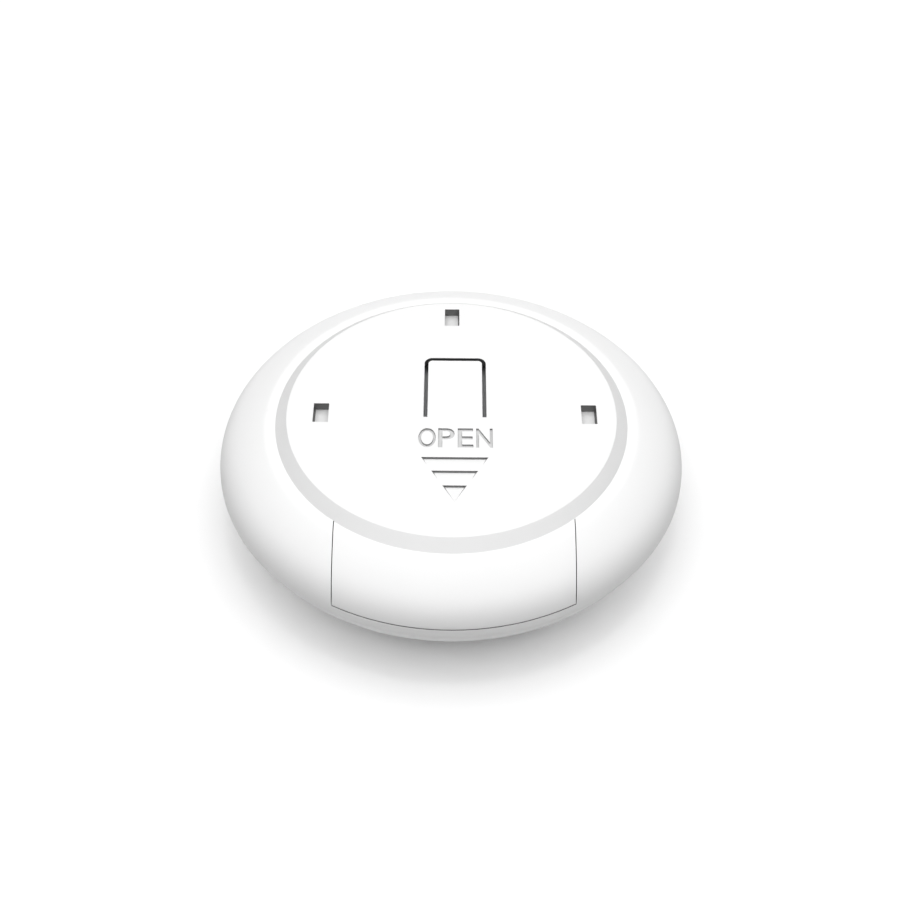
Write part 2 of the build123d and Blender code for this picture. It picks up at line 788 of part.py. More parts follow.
with BuildPart() as negative_contact:
    extrude(plate_outline([cell_x[1]], -contact_y - contact_thickness), amount=contact_thickness)
    extrude(tail_outline(cell_x[1] - contact_tail_offset), amount=contact_thickness)
save(negative_contact.part, "negative_contact")

with BuildPart() as bridge_contact:
    extrude(plate_outline(cell_x, contact_y), amount=contact_thickness)
    with BuildSketch(Plane.XZ.offset(contact_y)):
        with Locations((slide_axis_x, cell_z)):
            Rectangle(2 * cell_offset - contact_width / 2, contact_height / 2)
    extrude(amount=contact_thickness)
save(bridge_contact.part, "bridge_contact")

# Conical springs, wound from a contact plate to the flat end of a cell
far_end_y = cell_length - contact_y + contact_touch
spring_reach = contact_y - far_end_y - spring_wire - 2 * spring_touch
spring_steps = [number / spring_quarters for number in range(spring_quarters + 1)]


def spring_place(centre_x, side, share):
    radius = spring_base_radius + (spring_tip_radius - spring_base_radius) * share
    angle = share * spring_quarters * pi / 2
    along = contact_y - spring_wire / 2 - spring_touch - spring_reach * share
    return Vector(centre_x + radius * cos(angle), side * along, cell_z + radius * sin(angle))


def spring_heading(side, share):
    radius = spring_base_radius + (spring_tip_radius - spring_base_radius) * share
    angle = share * spring_quarters * pi / 2
    turn = spring_quarters * pi / 2
    narrowing = spring_tip_radius - spring_base_radius
    return Vector(
        narrowing * cos(angle) - radius * turn * sin(angle),
        -side * spring_reach,
        narrowing * sin(angle) + radius * turn * cos(angle),
    ).normalized()


# Two arcs that leave one point along its heading and reach the next along its own
def draw_biarc(start, start_heading, end, end_heading):
    chord = end - start
    headings = start_heading + end_heading
    spread = 2 * (1 - start_heading.dot(end_heading))
    reach = (-chord.dot(headings) + sqrt(chord.dot(headings) ** 2 + spread * chord.dot(chord))) / spread
    middle = (start + end + (start_heading - end_heading) * reach) * 0.5
    middle_heading = (end - end_heading * reach) - (start + start_heading * reach)
    TangentArc(start, middle, tangent=start_heading)
    TangentArc(middle, end, tangent=middle_heading)


def draw_spring(centre_x, side):
    for first, second in zip(spring_steps, spring_steps[1:]):
        draw_biarc(
            spring_place(centre_x, side, first),
            spring_heading(side, first),
            spring_place(centre_x, side, second),
            spring_heading(side, second),
        )


# Least distance between the surfaces of turns that lie beside each other
def least_gap(centre_x, side):
    count = spring_quarters * points_per_quarter
    places = [spring_place(centre_x, side, number / count) for number in range(count + 1)]
    half_turn = 2 * points_per_quarter
    return min(
        (places[first] - places[second]).length - spring_wire
        for first in range(len(places))
        for second in range(first + half_turn, len(places))
    )


with BuildPart() as bridge_spring:
    with BuildLine() as bridge_path:
        draw_spring(cell_x[0], -1)
    with BuildSketch(Plane(origin=bridge_path.line @ 0, z_dir=bridge_path.line % 0)):
        Circle(spring_wire / 2)
    sweep(path=bridge_path.line)
save(bridge_spring.part, "bridge_spring")

with BuildPart() as negative_spring:
    with BuildLine() as negative_path:
        draw_spring(cell_x[1], 1)
    with BuildSketch(Plane(origin=negative_path.line @ 0, z_dir=negative_path.line % 0)):
        Circle(spring_wire / 2)
    sweep(path=negative_path.line)
save(negative_spring.part, "negative_spring")
print("spring turns:", spring_quarters / 4, "least gap:", round(least_gap(cell_x[1], 1), 3))

# Cells: steel can, printed sleeve, insulating washer and positive cap
can_radius = cell_radius - cell_sleeve
can_length = cell_length - cell_nub_height - cell_washer
for name, centre_x, side in (("left", cell_x[0], 1), ("right", cell_x[1], -1)):
    far_y = -side * far_end_y
    with BuildPart() as can:
        with BuildSketch(Plane.XZ.offset(-far_y)):
            with Locations((centre_x, cell_z)):
                Circle(can_radius)
        extrude(amount=-side * can_length)
        fillet(can.edges().filter_by(GeomType.CIRCLE), cell_washer)
    save(can.part, f"{name}_cell_can")
    with BuildPart() as sleeve:
        with BuildSketch(Plane.XZ.offset(-far_y - side * cell_washer)):
            with Locations((centre_x, cell_z)):
                Circle(cell_radius)
                Circle(can_radius, mode=Mode.SUBTRACT)
        extrude(amount=-side * (can_length - 2 * cell_washer))
    save(sleeve.part, f"{name}_cell_sleeve")
    with BuildPart() as washer:
        with BuildSketch(Plane.XZ.offset(-far_y - side * can_length)):
            with Locations((centre_x, cell_z)):
                Circle(can_radius - cell_washer)
                Circle(cell_nub_diameter / 2 + cell_washer, mode=Mode.SUBTRACT)
        extrude(amount=-side * cell_washer)
    save(washer.part, f"{name}_cell_washer")
    with BuildPart() as nub:
        with BuildSketch(Plane.XZ.offset(-far_y - side * can_length)):
            with Locations((centre_x, cell_z)):
                Circle(cell_nub_diameter / 2)
        extrude(amount=-side * (cell_washer + cell_nub_height))
        outer_rim = nub.edges().filter_by(GeomType.CIRCLE).sort_by(Axis.Y)[-1 if side > 0 else 0]
        fillet(outer_rim, cell_washer)
    save(nub.part, f"{name}_cell_nub")

# Case screws, driven through the deck into the front shell's columns
with BuildPart() as case_screws:
    head_top_z = deck_z - screw_sink
    with BuildSketch(Plane.XY.offset(head_top_z)):
        with Locations(*screw_places):
            Circle(screw_head_diameter / 2)
    extrude(amount=-screw_head_height)
    fillet(case_screws.edges().filter_by(GeomType.CIRCLE).group_by(Axis.Z)[-1], screw_head_round)
    with BuildSketch(Plane.XY.offset(head_top_z - screw_head_height)):
        with Locations(*screw_places):
            Circle(screw_diameter / 2)
    extrude(amount=-screw_length)
    with BuildSketch(Plane.XY.offset(head_top_z)):
        with Locations(*screw_places):
            Rectangle(cross_length, cross_width)
            Rectangle(cross_width, cross_length)
    extrude(amount=-cross_depth, mode=Mode.SUBTRACT)
save(case_screws.part, "case_screws")
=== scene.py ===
import json
import math

import bmesh
import bpy
from mathutils import Matrix, Vector


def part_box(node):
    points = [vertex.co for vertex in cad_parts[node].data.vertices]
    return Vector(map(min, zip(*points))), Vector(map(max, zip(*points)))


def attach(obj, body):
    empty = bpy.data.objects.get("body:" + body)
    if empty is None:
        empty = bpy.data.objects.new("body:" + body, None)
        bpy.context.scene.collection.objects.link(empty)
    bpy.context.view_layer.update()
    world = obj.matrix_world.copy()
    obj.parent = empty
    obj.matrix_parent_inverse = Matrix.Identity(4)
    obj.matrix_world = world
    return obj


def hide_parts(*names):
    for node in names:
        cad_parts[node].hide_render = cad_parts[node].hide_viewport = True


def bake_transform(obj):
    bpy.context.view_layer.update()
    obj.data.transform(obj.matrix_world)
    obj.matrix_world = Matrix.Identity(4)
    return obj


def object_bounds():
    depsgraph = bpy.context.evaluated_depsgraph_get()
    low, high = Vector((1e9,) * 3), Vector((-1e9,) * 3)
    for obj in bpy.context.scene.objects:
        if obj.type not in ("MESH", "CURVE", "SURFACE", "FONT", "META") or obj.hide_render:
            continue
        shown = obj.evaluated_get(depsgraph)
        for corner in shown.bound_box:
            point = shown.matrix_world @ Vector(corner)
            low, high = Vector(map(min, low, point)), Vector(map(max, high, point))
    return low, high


# A white wireless push button, lying face down with its battery cover up.
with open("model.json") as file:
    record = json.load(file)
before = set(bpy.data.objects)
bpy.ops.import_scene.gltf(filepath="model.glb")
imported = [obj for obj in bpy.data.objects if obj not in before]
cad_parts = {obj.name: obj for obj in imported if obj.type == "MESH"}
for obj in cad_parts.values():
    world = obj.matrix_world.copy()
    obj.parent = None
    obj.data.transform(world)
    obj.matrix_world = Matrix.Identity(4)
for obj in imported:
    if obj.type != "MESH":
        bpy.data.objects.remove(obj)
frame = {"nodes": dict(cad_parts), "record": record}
nodes = frame["nodes"]
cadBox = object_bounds()
mm = 0.001
scene = bpy.context.scene
print("stage: frame loaded,", len(nodes), "nodes")


# Shader groups

def addSocket(tree, name, kind, side, value=None):
    socket = tree.interface.new_socket(name=name, in_out=side, socket_type=kind)
    if value is not None:
        socket.default_value = value


def newGroup(name, inputs, outputs):
    tree = bpy.data.node_groups.new(name, "ShaderNodeTree")
    for label, kind, value in inputs:
        addSocket(tree, label, kind, "INPUT", value)
    for label, kind in outputs:
        addSocket(tree, label, kind, "OUTPUT")
    return tree, tree.nodes.new("NodeGroupInput"), tree.nodes.new("NodeGroupOutput")


def noiseNode(tree, scale, detail):
    noise = tree.nodes.new("ShaderNodeTexNoise")
    noise.inputs["Scale"].default_value = scale
    noise.inputs["Detail"].default_value = detail
    return noise


def buildMouldFinishAndPaintedShade():
    # fine spark-eroded grain, slow waviness of the skin, a little variation of colour,
    # the painted shade that a face attribute named shade gives to walls deep in grooves,
    # and painted shade on the skin that turns under, below a height
    tree, source, result = newGroup(
        "mouldFinishAndPaintedShade",
        [
            ("Colour", "NodeSocketColor", (0.8, 0.8, 0.8, 1.0)),
            ("Shade", "NodeSocketColor", (0.76, 0.76, 0.76, 1.0)),
            ("Grain Scale", "NodeSocketFloat", 9000.0),
            ("Wave Scale", "NodeSocketFloat", 90.0),
            ("Rough Low", "NodeSocketFloat", 0.4),
            ("Rough High", "NodeSocketFloat", 0.5),
            ("Painted Shade Colour", "NodeSocketColor", (0.05, 0.05, 0.05, 1.0)),
            ("Painted Shade Top", "NodeSocketFloat", 1.0),
            ("Painted Shade Bottom", "NodeSocketFloat", 0.0),
            ("Painted Shade Amount", "NodeSocketFloat", 0.0),
        ],
        [("Colour", "NodeSocketColor"), ("Roughness", "NodeSocketFloat"), ("Height", "NodeSocketFloat")],
    )
    links = tree.links
    place = tree.nodes.new("ShaderNodeTexCoord")
    grain = noiseNode(tree, 9000.0, 3.0)
    wave = noiseNode(tree, 90.0, 2.0)
    for noise, label in ((grain, "Grain Scale"), (wave, "Wave Scale")):
        links.new(place.outputs["Object"], noise.inputs["Vector"])
        links.new(source.outputs[label], noise.inputs["Scale"])
    mix = tree.nodes.new("ShaderNodeMix")
    mix.data_type = "RGBA"
    links.new(wave.outputs["Fac"], mix.inputs["Factor"])
    links.new(source.outputs["Colour"], mix.inputs["A"])
    links.new(source.outputs["Shade"], mix.inputs["B"])
    # painted shade in grooves and seams, from the face attribute named shade
    recess = tree.nodes.new("ShaderNodeAttribute")
    recess.attribute_name = "shade"
    height = tree.nodes.new("ShaderNodeSeparateXYZ")
    links.new(place.outputs["Object"], height.inputs["Vector"])
    # painted shade on the skin below a height
    fade = tree.nodes.new("ShaderNodeMapRange")
    fade.interpolation_type = "SMOOTHSTEP"
    links.new(height.outputs["Z"], fade.inputs["Value"])
    links.new(source.outputs["Painted Shade Top"], fade.inputs["From Min"])
    links.new(source.outputs["Painted Shade Bottom"], fade.inputs["From Max"])
    links.new(source.outputs["Painted Shade Amount"], fade.inputs["To Max"])
    fade.inputs["To Min"].default_value = 0.0
    # the deeper of the two painted shades
    dull = tree.nodes.new("ShaderNodeMath")
    dull.operation = "MAXIMUM"
    links.new(recess.outputs["Fac"], dull.inputs[0])
    links.new(fade.outputs["Result"], dull.inputs[1])
    # mixes the painted shade colour into the skin's colour
    paintShadeMix = tree.nodes.new("ShaderNodeMix")
    paintShadeMix.data_type = "RGBA"
    links.new(dull.outputs["Value"], paintShadeMix.inputs["Factor"])
    links.new(mix.outputs["Result"], paintShadeMix.inputs["A"])
    links.new(source.outputs["Painted Shade Colour"], paintShadeMix.inputs["B"])
    links.new(paintShadeMix.outputs["Result"], result.inputs["Colour"])
    rough = tree.nodes.new("ShaderNodeMapRange")
    links.new(grain.outputs["Fac"], rough.inputs["Value"])
    links.new(source.outputs["Rough Low"], rough.inputs["To Min"])
    links.new(source.outputs["Rough High"], rough.inputs["To Max"])
    links.new(rough.outputs["Result"], result.inputs["Roughness"])
    slow = tree.nodes.new("ShaderNodeMath")
    slow.operation = "MULTIPLY_ADD"
    slow.inputs[1].default_value = 6.0
    links.new(wave.outputs["Fac"], slow.inputs[0])
    links.new(grain.outputs["Fac"], slow.inputs[2])
    links.new(slow.outputs["Value"], result.inputs["Height"])
    return tree


def buildRubMarks():
    # fine scratches along one direction, for pressed and plated metal
    tree, source, result = newGroup(
        "rubMarks",
        [("Stretch", "NodeSocketVector", (1.0, 1.0, 1.0)), ("Scale", "NodeSocketFloat", 3000.0)],
        [("Mask", "NodeSocketFloat"), ("Height", "NodeSocketFloat")],
    )
    links = tree.links
    place = tree.nodes.new("ShaderNodeTexCoord")
    stretch = tree.nodes.new("ShaderNodeVectorMath")
    stretch.operation = "MULTIPLY"
    links.new(place.outputs["Object"], stretch.inputs[0])
    links.new(source.outputs["Stretch"], stretch.inputs[1])
    noise = noiseNode(tree, 3000.0, 4.0)
    links.new(stretch.outputs["Vector"], noise.inputs["Vector"])
    links.new(source.outputs["Scale"], noise.inputs["Scale"])
    blotch = noiseNode(tree, 400.0, 2.0)
    links.new(place.outputs["Object"], blotch.inputs["Vector"])
    links.new(blotch.outputs["Fac"], result.inputs["Mask"])
    links.new(noise.outputs["Fac"], result.inputs["Height"])
    return tree


mouldFinishAndPaintedShade = buildMouldFinishAndPaintedShade()
rubMarks = buildRubMarks()


def newMaterial(name):
    material = bpy.data.materials.new(name)
    material.use_nodes = True
    return material, material.node_tree, material.node_tree.nodes["Principled BSDF"]


def placeGroup(tree, group):
    node = tree.nodes.new("ShaderNodeGroup")
    node.node_tree = group
    return node


grainDepth = 0.004 * mm


def bumpInto(tree, shader, height, strength):
    bump = tree.nodes.new("ShaderNodeBump")
    bump.inputs["Strength"].default_value = strength
    bump.inputs["Distance"].default_value = grainDepth
    tree.links.new(height, bump.inputs["Height"])
    tree.links.new(bump.outputs["Normal"], shader.inputs["Normal"])


def plastic(name, colour, shade, rough, grain=9000.0, wave=90.0, bump=0.12, specular=0.5, fade=None):
    material, tree, shader = newMaterial(name)
    finish = placeGroup(tree, mouldFinishAndPaintedShade)
    finish.inputs["Colour"].default_value = (*colour, 1.0)
    finish.inputs["Shade"].default_value = (*shade, 1.0)
    finish.inputs["Grain Scale"].default_value = grain
    finish.inputs["Wave Scale"].default_value = wave
    finish.inputs["Rough Low"].default_value = rough[0]
    finish.inputs["Rough High"].default_value = rough[1]
    # painted shade on the skin below a height
    if fade:
        finish.inputs["Painted Shade Top"].default_value = fade["top"] * mm
        finish.inputs["Painted Shade Bottom"].default_value = fade["bottom"] * mm
        finish.inputs["Painted Shade Amount"].default_value = fade["amount"]
    tree.links.new(finish.outputs["Colour"], shader.inputs["Base Color"])
    tree.links.new(finish.outputs["Roughness"], shader.inputs["Roughness"])
    shader.inputs["Specular IOR Level"].default_value = specular
    bumpInto(tree, shader, finish.outputs["Height"], bump)
    return material


def metal(name, colour, dull, rough, stretch, bump=0.1):
    material, tree, shader = newMaterial(name)
    marks = placeGroup(tree, rubMarks)
    marks.inputs["Stretch"].default_value = stretch
    mix = tree.nodes.new("ShaderNodeMix")
    mix.data_type = "RGBA"
    mix.inputs["A"].default_value = (*colour, 1.0)
    mix.inputs["B"].default_value = (*dull, 1.0)
    tree.links.new(marks.outputs["Mask"], mix.inputs["Factor"])
    tree.links.new(mix.outputs["Result"], shader.inputs["Base Color"])
    spread = tree.nodes.new("ShaderNodeMapRange")
    spread.inputs["To Min"].default_value = rough[0]
    spread.inputs["To Max"].default_value = rough[1]
    tree.links.new(marks.outputs["Height"], spread.inputs["Value"])
    tree.links.new(spread.outputs["Result"], shader.inputs["Roughness"])
    shader.inputs["Metallic"].default_value = 1.0
    bumpInto(tree, shader, marks.outputs["Height"], bump)
    return material


whiteLook = {
    "colour": (0.865, 0.865, 0.865),
    "shade": (0.85, 0.85, 0.85),
    "rough": (0.42, 0.52),
}
rimPaintedShade = {
    "top": 14.8,                   # painted shade grows from this height down, in millimetres
    "bottom": 10.0,
    "amount": 0.33,
}
housingWhite = plastic("housingWhite", **whiteLook, fade=rimPaintedShade)
coverWhite = plastic("coverWhite", **whiteLook, fade=rimPaintedShade)
frontWhite = plastic("frontWhite", **whiteLook)
capWhite = plastic("capWhite", (0.88, 0.88, 0.88), (0.86, 0.86, 0.86), (0.3, 0.38))
boardGreen = plastic("boardGreen", (0.02, 0.16, 0.07), (0.015, 0.12, 0.05), (0.25, 0.35), bump=0.2)
moduleBlue = plastic("moduleBlue", (0.015, 0.04, 0.12), (0.01, 0.03, 0.09), (0.28, 0.36))
switchBlack = plastic("switchBlack", (0.02, 0.02, 0.02), (0.03, 0.03, 0.03), (0.45, 0.6))
plungerRed = plastic("plungerRed", (0.42, 0.05, 0.04), (0.36, 0.04, 0.03), (0.35, 0.45))
padRubber = plastic("padRubber", (0.06, 0.06, 0.06), (0.04, 0.04, 0.04), (0.65, 0.8), grain=5000.0)
chipBrown = plastic("chipBrown", (0.24, 0.17, 0.11), (0.2, 0.14, 0.09), (0.4, 0.55))
ledCream = plastic("ledCream", (0.8, 0.74, 0.5), (0.75, 0.68, 0.45), (0.3, 0.4))
washerCard = plastic("washerCard", (0.7, 0.68, 0.62), (0.6, 0.58, 0.52), (0.7, 0.85), grain=2500.0)
nickel = metal("nickelStrip", (0.72, 0.7, 0.66), (0.6, 0.58, 0.54), (0.22, 0.38), (1.0, 1.0, 0.1))
springNickel = metal("springNickel", (0.7, 0.69, 0.66), (0.55, 0.54, 0.5), (0.2, 0.32), (1.0, 0.3, 1.0))
canSteel = metal("canSteel", (0.74, 0.74, 0.73), (0.62, 0.62, 0.6), (0.18, 0.3), (1.0, 0.05, 1.0))
lidSteel = metal("lidSteel", (0.66, 0.66, 0.64), (0.5, 0.5, 0.48), (0.25, 0.4), (0.1, 1.0, 1.0))
screwZinc = metal("screwZinc", (0.5, 0.5, 0.5), (0.38, 0.38, 0.38), (0.25, 0.42), (1.0, 1.0, 1.0))


pipeLook = {
    "colour": (0.9, 0.93, 0.95, 1.0),
    "rough": (0.05, 0.15),
    "clearness": 0.7,
    "ior": 1.49,
}
filmLook = {
    "colour": (0.62, 0.63, 0.64, 1.0),
    "shade": (0.58, 0.59, 0.6, 1.0),
    "bandColour": (0.5, 0.27, 0.1, 1.0),
    "bandY": 15.0,                 # where the band at the positive end begins, in millimetres
    "rough": (0.18, 0.28),
    "bump": 0.1,
}


def clearPlastic(name, look):
    material, tree, shader = newMaterial(name)
    finish = placeGroup(tree, mouldFinishAndPaintedShade)
    finish.inputs["Rough Low"].default_value = look["rough"][0]
    finish.inputs["Rough High"].default_value = look["rough"][1]
    tree.links.new(finish.outputs["Roughness"], shader.inputs["Roughness"])
    shader.inputs["Base Color"].default_value = look["colour"]
    shader.inputs["Transmission Weight"].default_value = look["clearness"]
    shader.inputs["IOR"].default_value = look["ior"]
    return material


def sleeveFilm(name, look, side):
    # plain printed film; side is +1 where the positive end and its band are at +Y
    material, tree, shader = newMaterial(name)
    finish = placeGroup(tree, mouldFinishAndPaintedShade)
    finish.inputs["Colour"].default_value = look["colour"]
    finish.inputs["Shade"].default_value = look["shade"]
    finish.inputs["Rough Low"].default_value = look["rough"][0]
    finish.inputs["Rough High"].default_value = look["rough"][1]
    place = tree.nodes.new("ShaderNodeTexCoord")
    split = tree.nodes.new("ShaderNodeSeparateXYZ")
    tree.links.new(place.outputs["Object"], split.inputs["Vector"])
    band = tree.nodes.new("ShaderNodeMath")
    band.operation = "GREATER_THAN" if side > 0 else "LESS_THAN"
    band.inputs[1].default_value = side * look["bandY"] * mm
    tree.links.new(split.outputs["Y"], band.inputs[0])
    mix = tree.nodes.new("ShaderNodeMix")
    mix.data_type = "RGBA"
    mix.inputs["B"].default_value = look["bandColour"]
    tree.links.new(band.outputs["Value"], mix.inputs["Factor"])
    tree.links.new(finish.outputs["Colour"], mix.inputs["A"])
    tree.links.new(mix.outputs["Result"], shader.inputs["Base Color"])
    tree.links.new(finish.outputs["Roughness"], shader.inputs["Roughness"])
    bumpInto(tree, shader, finish.outputs["Height"], look["bump"])
    return material


pipeClear = clearPlastic("pipeClear", pipeLook)
leftFilm = sleeveFilm("leftFilm", filmLook, 1)
rightFilm = sleeveFilm("rightFilm", filmLook, -1)
print("stage: materials made")


# Meshes taken from the frame

def link(piece):
    scene.collection.objects.link(piece)
    return piece


def smoothByAngle(mesh, degrees):
    mesh.polygons.foreach_set("use_smooth", [True] * len(mesh.polygons))
    mesh.set_sharp_from_angle(angle=math.radians(degrees))


def mergedCopy(nodeName, pieceName, flat=0.4):
    mesh = bpy.data.meshes.new(pieceName)
    work = bmesh.new()
    work.from_mesh(nodes[nodeName].data)
    bmesh.ops.remove_doubles(work, verts=work.verts, dist=0.002 * mm)
    bmesh.ops.dissolve_limit(work, angle_limit=math.radians(flat), verts=work.verts, edges=work.edges)
    bmesh.ops.recalc_face_normals(work, faces=work.faces)
    work.to_mesh(mesh)
    work.free()
    for layer in ("custom_normal", "sharp_face"):
        if mesh.attributes.get(layer):
            mesh.attributes.remove(mesh.attributes[layer])
    return link(bpy.data.objects.new(pieceName, mesh))


def applyModifiers(piece):
    graph = bpy.context.evaluated_depsgraph_get()
    baked = bpy.data.meshes.new_from_object(piece.evaluated_get(graph), depsgraph=graph)
    piece.modifiers.clear()
    piece.data = baked
    return piece


def softenEdges(piece, width, angle=30.0, keep=None):
    # small rounds on every edge of the moulding, but where keep says no
    mesh = piece.data
    low = [min(v.co[axis] for v in mesh.vertices) for axis in range(3)]
    high = [max(v.co[axis] for v in mesh.vertices) for axis in range(3)]
    work = bmesh.new()
    work.from_mesh(mesh)
    weight = work.edges.layers.float.new("bevel_weight_edge")
    shortest = 2.2 * width         # a shorter edge has no room for its round
    for edge in work.edges:
        if len(edge.link_faces) != 2 or edge.calc_face_angle(0.0) < math.radians(angle):
            continue
        if edge.calc_length() < shortest or (keep and keep(edge)):
            continue
        edge[weight] = 1.0
    work.to_mesh(mesh)
    work.free()
    bevel = piece.modifiers.new("softEdges", "BEVEL")
    bevel.limit_method = "WEIGHT"
    bevel.width = width
    bevel.segments = 2
    bevel.use_clamp_overlap = False
    applyModifiers(piece)
    for v in piece.data.vertices:  # a round can overshoot beside a short edge: it stays in the piece's box
        v.co = [min(max(v.co[axis], low[axis]), high[axis]) for axis in range(3)]


def evenNormals(piece, angle=30.0):
    # flat faces stay flat beside their rounds
    smoothByAngle(piece.data, angle)
    weighted = piece.modifiers.new("evenNormals", "WEIGHTED_NORMAL")
    weighted.keep_sharp = True
    applyModifiers(piece)


def shadeFaces(piece, rule):
    # rule takes a face's centre in millimetres and its normal, and gives its painted shade, 0 to 1
    mesh = piece.data
    shade = mesh.attributes.new("shade", "FLOAT", "FACE")
    for face in mesh.polygons:
        shade.data[face.index].value = rule(face.center / mm, face.normal)


def inZone(zone, place):
    half, low, high = zone
    return abs(place.x) < half and low < place.y < high


def dress(piece, body, slotName, material, *replaced):
    piece.data.materials.clear()
    piece.data.materials.append(material)
    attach(piece, body)
    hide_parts(*replaced)


# Cover: the disc with its front sector, the generic word and the arrow, in millimetres
# the shade values are painted shade, 0 to 1, on walls in grooves, in the seams and on the sloping edge
coverLook = {
    "edge": 0.05,
    "slideX": 0.48,                # middle of the tongue and arrow
    "face": 18.0,                  # height of the flat face
    "faceDepth": 0.03,             # what lies less deep than this belongs to the face
    "faceRadius": 22.4,
    # the word
    "word": "OPEN",
    "letterSpans": [(-4.48, -2.1), (-1.79, 0.44), (0.87, 2.99), (3.38, 5.62)],
    "wordLow": -6.88,
    "wordHigh": -3.28,
    "wordDepth": 0.28,
    "stroke": 0.01,                # thickening of the letters
    "wordZone": (6.0, -7.2, -3.0),  # half width, low Y and high Y of the ground that it takes
    "letterTopShade": 0.62,
    "letterSideShade": 0.9,
    "letterFloorShade": 0.3,
    # the arrow's wedges
    "arrowZone": (6.0, -17.0, -8.5),
    "barDraft": 0.34,              # of the side walls, inwards
    "barDepth": 0.8,               # as a share of the frame's
    "barLow": 17.4,                # no wedge is as deep as this height
    "barShade": 0.85,
    "barSideShade": 0.6,
    # the groove round the tongue
    "rootY": -1.1,
    "rootHalf": 4.6,
    "grooveY": (-1.3, 10.9),
    "grooveLow": 16.7,
    "paintedShadeTipY": 8.3,               # its walls take darker painted shade from here to the tip
    "tipShade": 0.97,
    "sideShade": 0.1,
    # the slots
    "slotPlaces": [(0.0, 19.6, 1), (-18.02, -0.4, -1), (18.98, -0.4, 1)],  # X, Y and the outer wall's side
    "slotHalf": (1.05, 1.8),
    "slotDraft": 0.2,              # of the outer wall, inwards
    "slotLow": 17.0,
    "slotRearShade": 0.85,
    "slotOuterShade": 0.97,
    "slotSideShade": 0.5,
    # the disc's sloping edge
    "edgeFacing": (0.7, 0.86),     # between these its normal points upwards
    "edgeReach": (22.6, 24.6),
    "edgeLow": 16.6,
    "edgeShade": (0.08, 0.08, 0.1),  # painted shade in front, more at the sides and more behind
    "edgeSlope": 1.237,            # width over rise
    "skirtZ": 16.75,               # underside of the disc, lowered at its edge to meet the crest
    "crestZ": 16.66,
    "skirtRadius": 23.9,
    # the front sector's seams
    "sectorY": -17.4,              # its side walls lie in front of this
    "sectorReach": 24.0,
    "sectorTip": 29.0,             # its underside is seen beyond this radius
    "seamShade": 0.85,
}


def letterMesh(letter, look, low, high, top):
    curve = bpy.data.curves.new("letter", "FONT")
    curve.body = letter
    curve.size = 1.0
    curve.offset = look["stroke"]
    curve.resolution_u = 8
    curve.extrude = 0.5
    glyph = link(bpy.data.objects.new("letter", curve))
    graph = bpy.context.evaluated_depsgraph_get()
    mesh = bpy.data.meshes.new_from_object(glyph.evaluated_get(graph), depsgraph=graph)
    bpy.data.objects.remove(glyph)
    xs = [v.co.x for v in mesh.vertices]
    ys = [v.co.y for v in mesh.vertices]
    minX, spanX = min(xs), max(xs) - min(xs)
    minY, spanY = min(ys), max(ys) - min(ys)
    for v in mesh.vertices:
        v.co.x = mm * (low[0] + (v.co.x - minX) / spanX * (high[0] - low[0]))
        v.co.y = mm * (low[1] + (v.co.y - minY) / spanY * (high[1] - low[1]))
        v.co.z = top + (mm if v.co.z > 0 else -look["wordDepth"] * mm)
    return mesh


def wordCutter(look, top):
    work = bmesh.new()
    for letter, (left, right) in zip(look["word"], look["letterSpans"]):
        work.from_mesh(letterMesh(letter, look, (left, look["wordLow"]), (right, look["wordHigh"]), top))
    bmesh.ops.remove_doubles(work, verts=work.verts, dist=0.001 * mm)
    bmesh.ops.recalc_face_normals(work, faces=work.faces)
    mesh = bpy.data.meshes.new("wordCutter")
    work.to_mesh(mesh)
    work.free()
    return link(bpy.data.objects.new("wordCutter", mesh))


def cutAway(piece, cutter):
    cut = piece.modifiers.new("cut", "BOOLEAN")
    cut.operation = "DIFFERENCE"
    cut.solver = "EXACT"
    cut.object = cutter
    applyModifiers(piece)
    bpy.data.objects.remove(cutter)


def coverShade(look):
    def onSlope(centre, normal, reach):
        facing, far = look["edgeFacing"], look["edgeReach"]
        return facing[0] < normal.z < facing[1] and far[0] < reach < far[1] and centre.z > look["edgeLow"]

    def slopeTone(centre, reach):
        inFront, aside, behind = look["edgeShade"]
        return inFront + aside * (centre.x / reach) ** 2 + behind * max(0.0, centre.y / reach)

    def seamTone(centre, normal, reach):
        sideWall = abs(normal.x) > 0.97 and centre.y < look["sectorY"]
        underWall = normal.z < -0.9 and reach > look["sectorTip"]
        return look["seamShade"] if (sideWall or underWall) and reach > look["sectorReach"] else 0.0

    def letterTone(normal):
        if abs(normal.z) > 0.5:
            return look["letterFloorShade"]
        return look["letterTopShade"] if normal.y < -0.3 else look["letterSideShade"]

    def barTone(normal):
        if normal.y < -0.9 and abs(normal.z) < 0.3:
            return look["barShade"]
        return look["barSideShade"] if abs(normal.x) > 0.3 else 0.0

    def slotTone(centre, normal):
        if abs(normal.z) > 0.5:
            return 0.0
        if normal.y < -0.9:
            return look["slotRearShade"]
        outer = normal.x * centre.x < -0.1 and abs(centre.x) > 10
        outerAtTop = abs(centre.x) < 5 and normal.x < -0.9
        return look["slotOuterShade"] if outer or outerAtTop else look["slotSideShade"]

    def rule(centre, normal):
        reach = math.hypot(centre.x, centre.y)
        if onSlope(centre, normal, reach):
            return slopeTone(centre, reach)
        if reach > look["faceRadius"] or look["face"] - centre.z < look["faceDepth"]:
            return seamTone(centre, normal, reach)
        if centre.z < look["grooveLow"]:
            return 0.0
        low, high = look["grooveY"]
        if abs(centre.x - look["slideX"]) < look["rootHalf"] and low < centre.y < high:
            return look["tipShade"] if centre.y > look["paintedShadeTipY"] else look["sideShade"]
        if inZone(look["wordZone"], centre):
            return letterTone(normal)
        return barTone(normal) if inZone(look["arrowZone"], centre) else slotTone(centre, normal)

    return rule


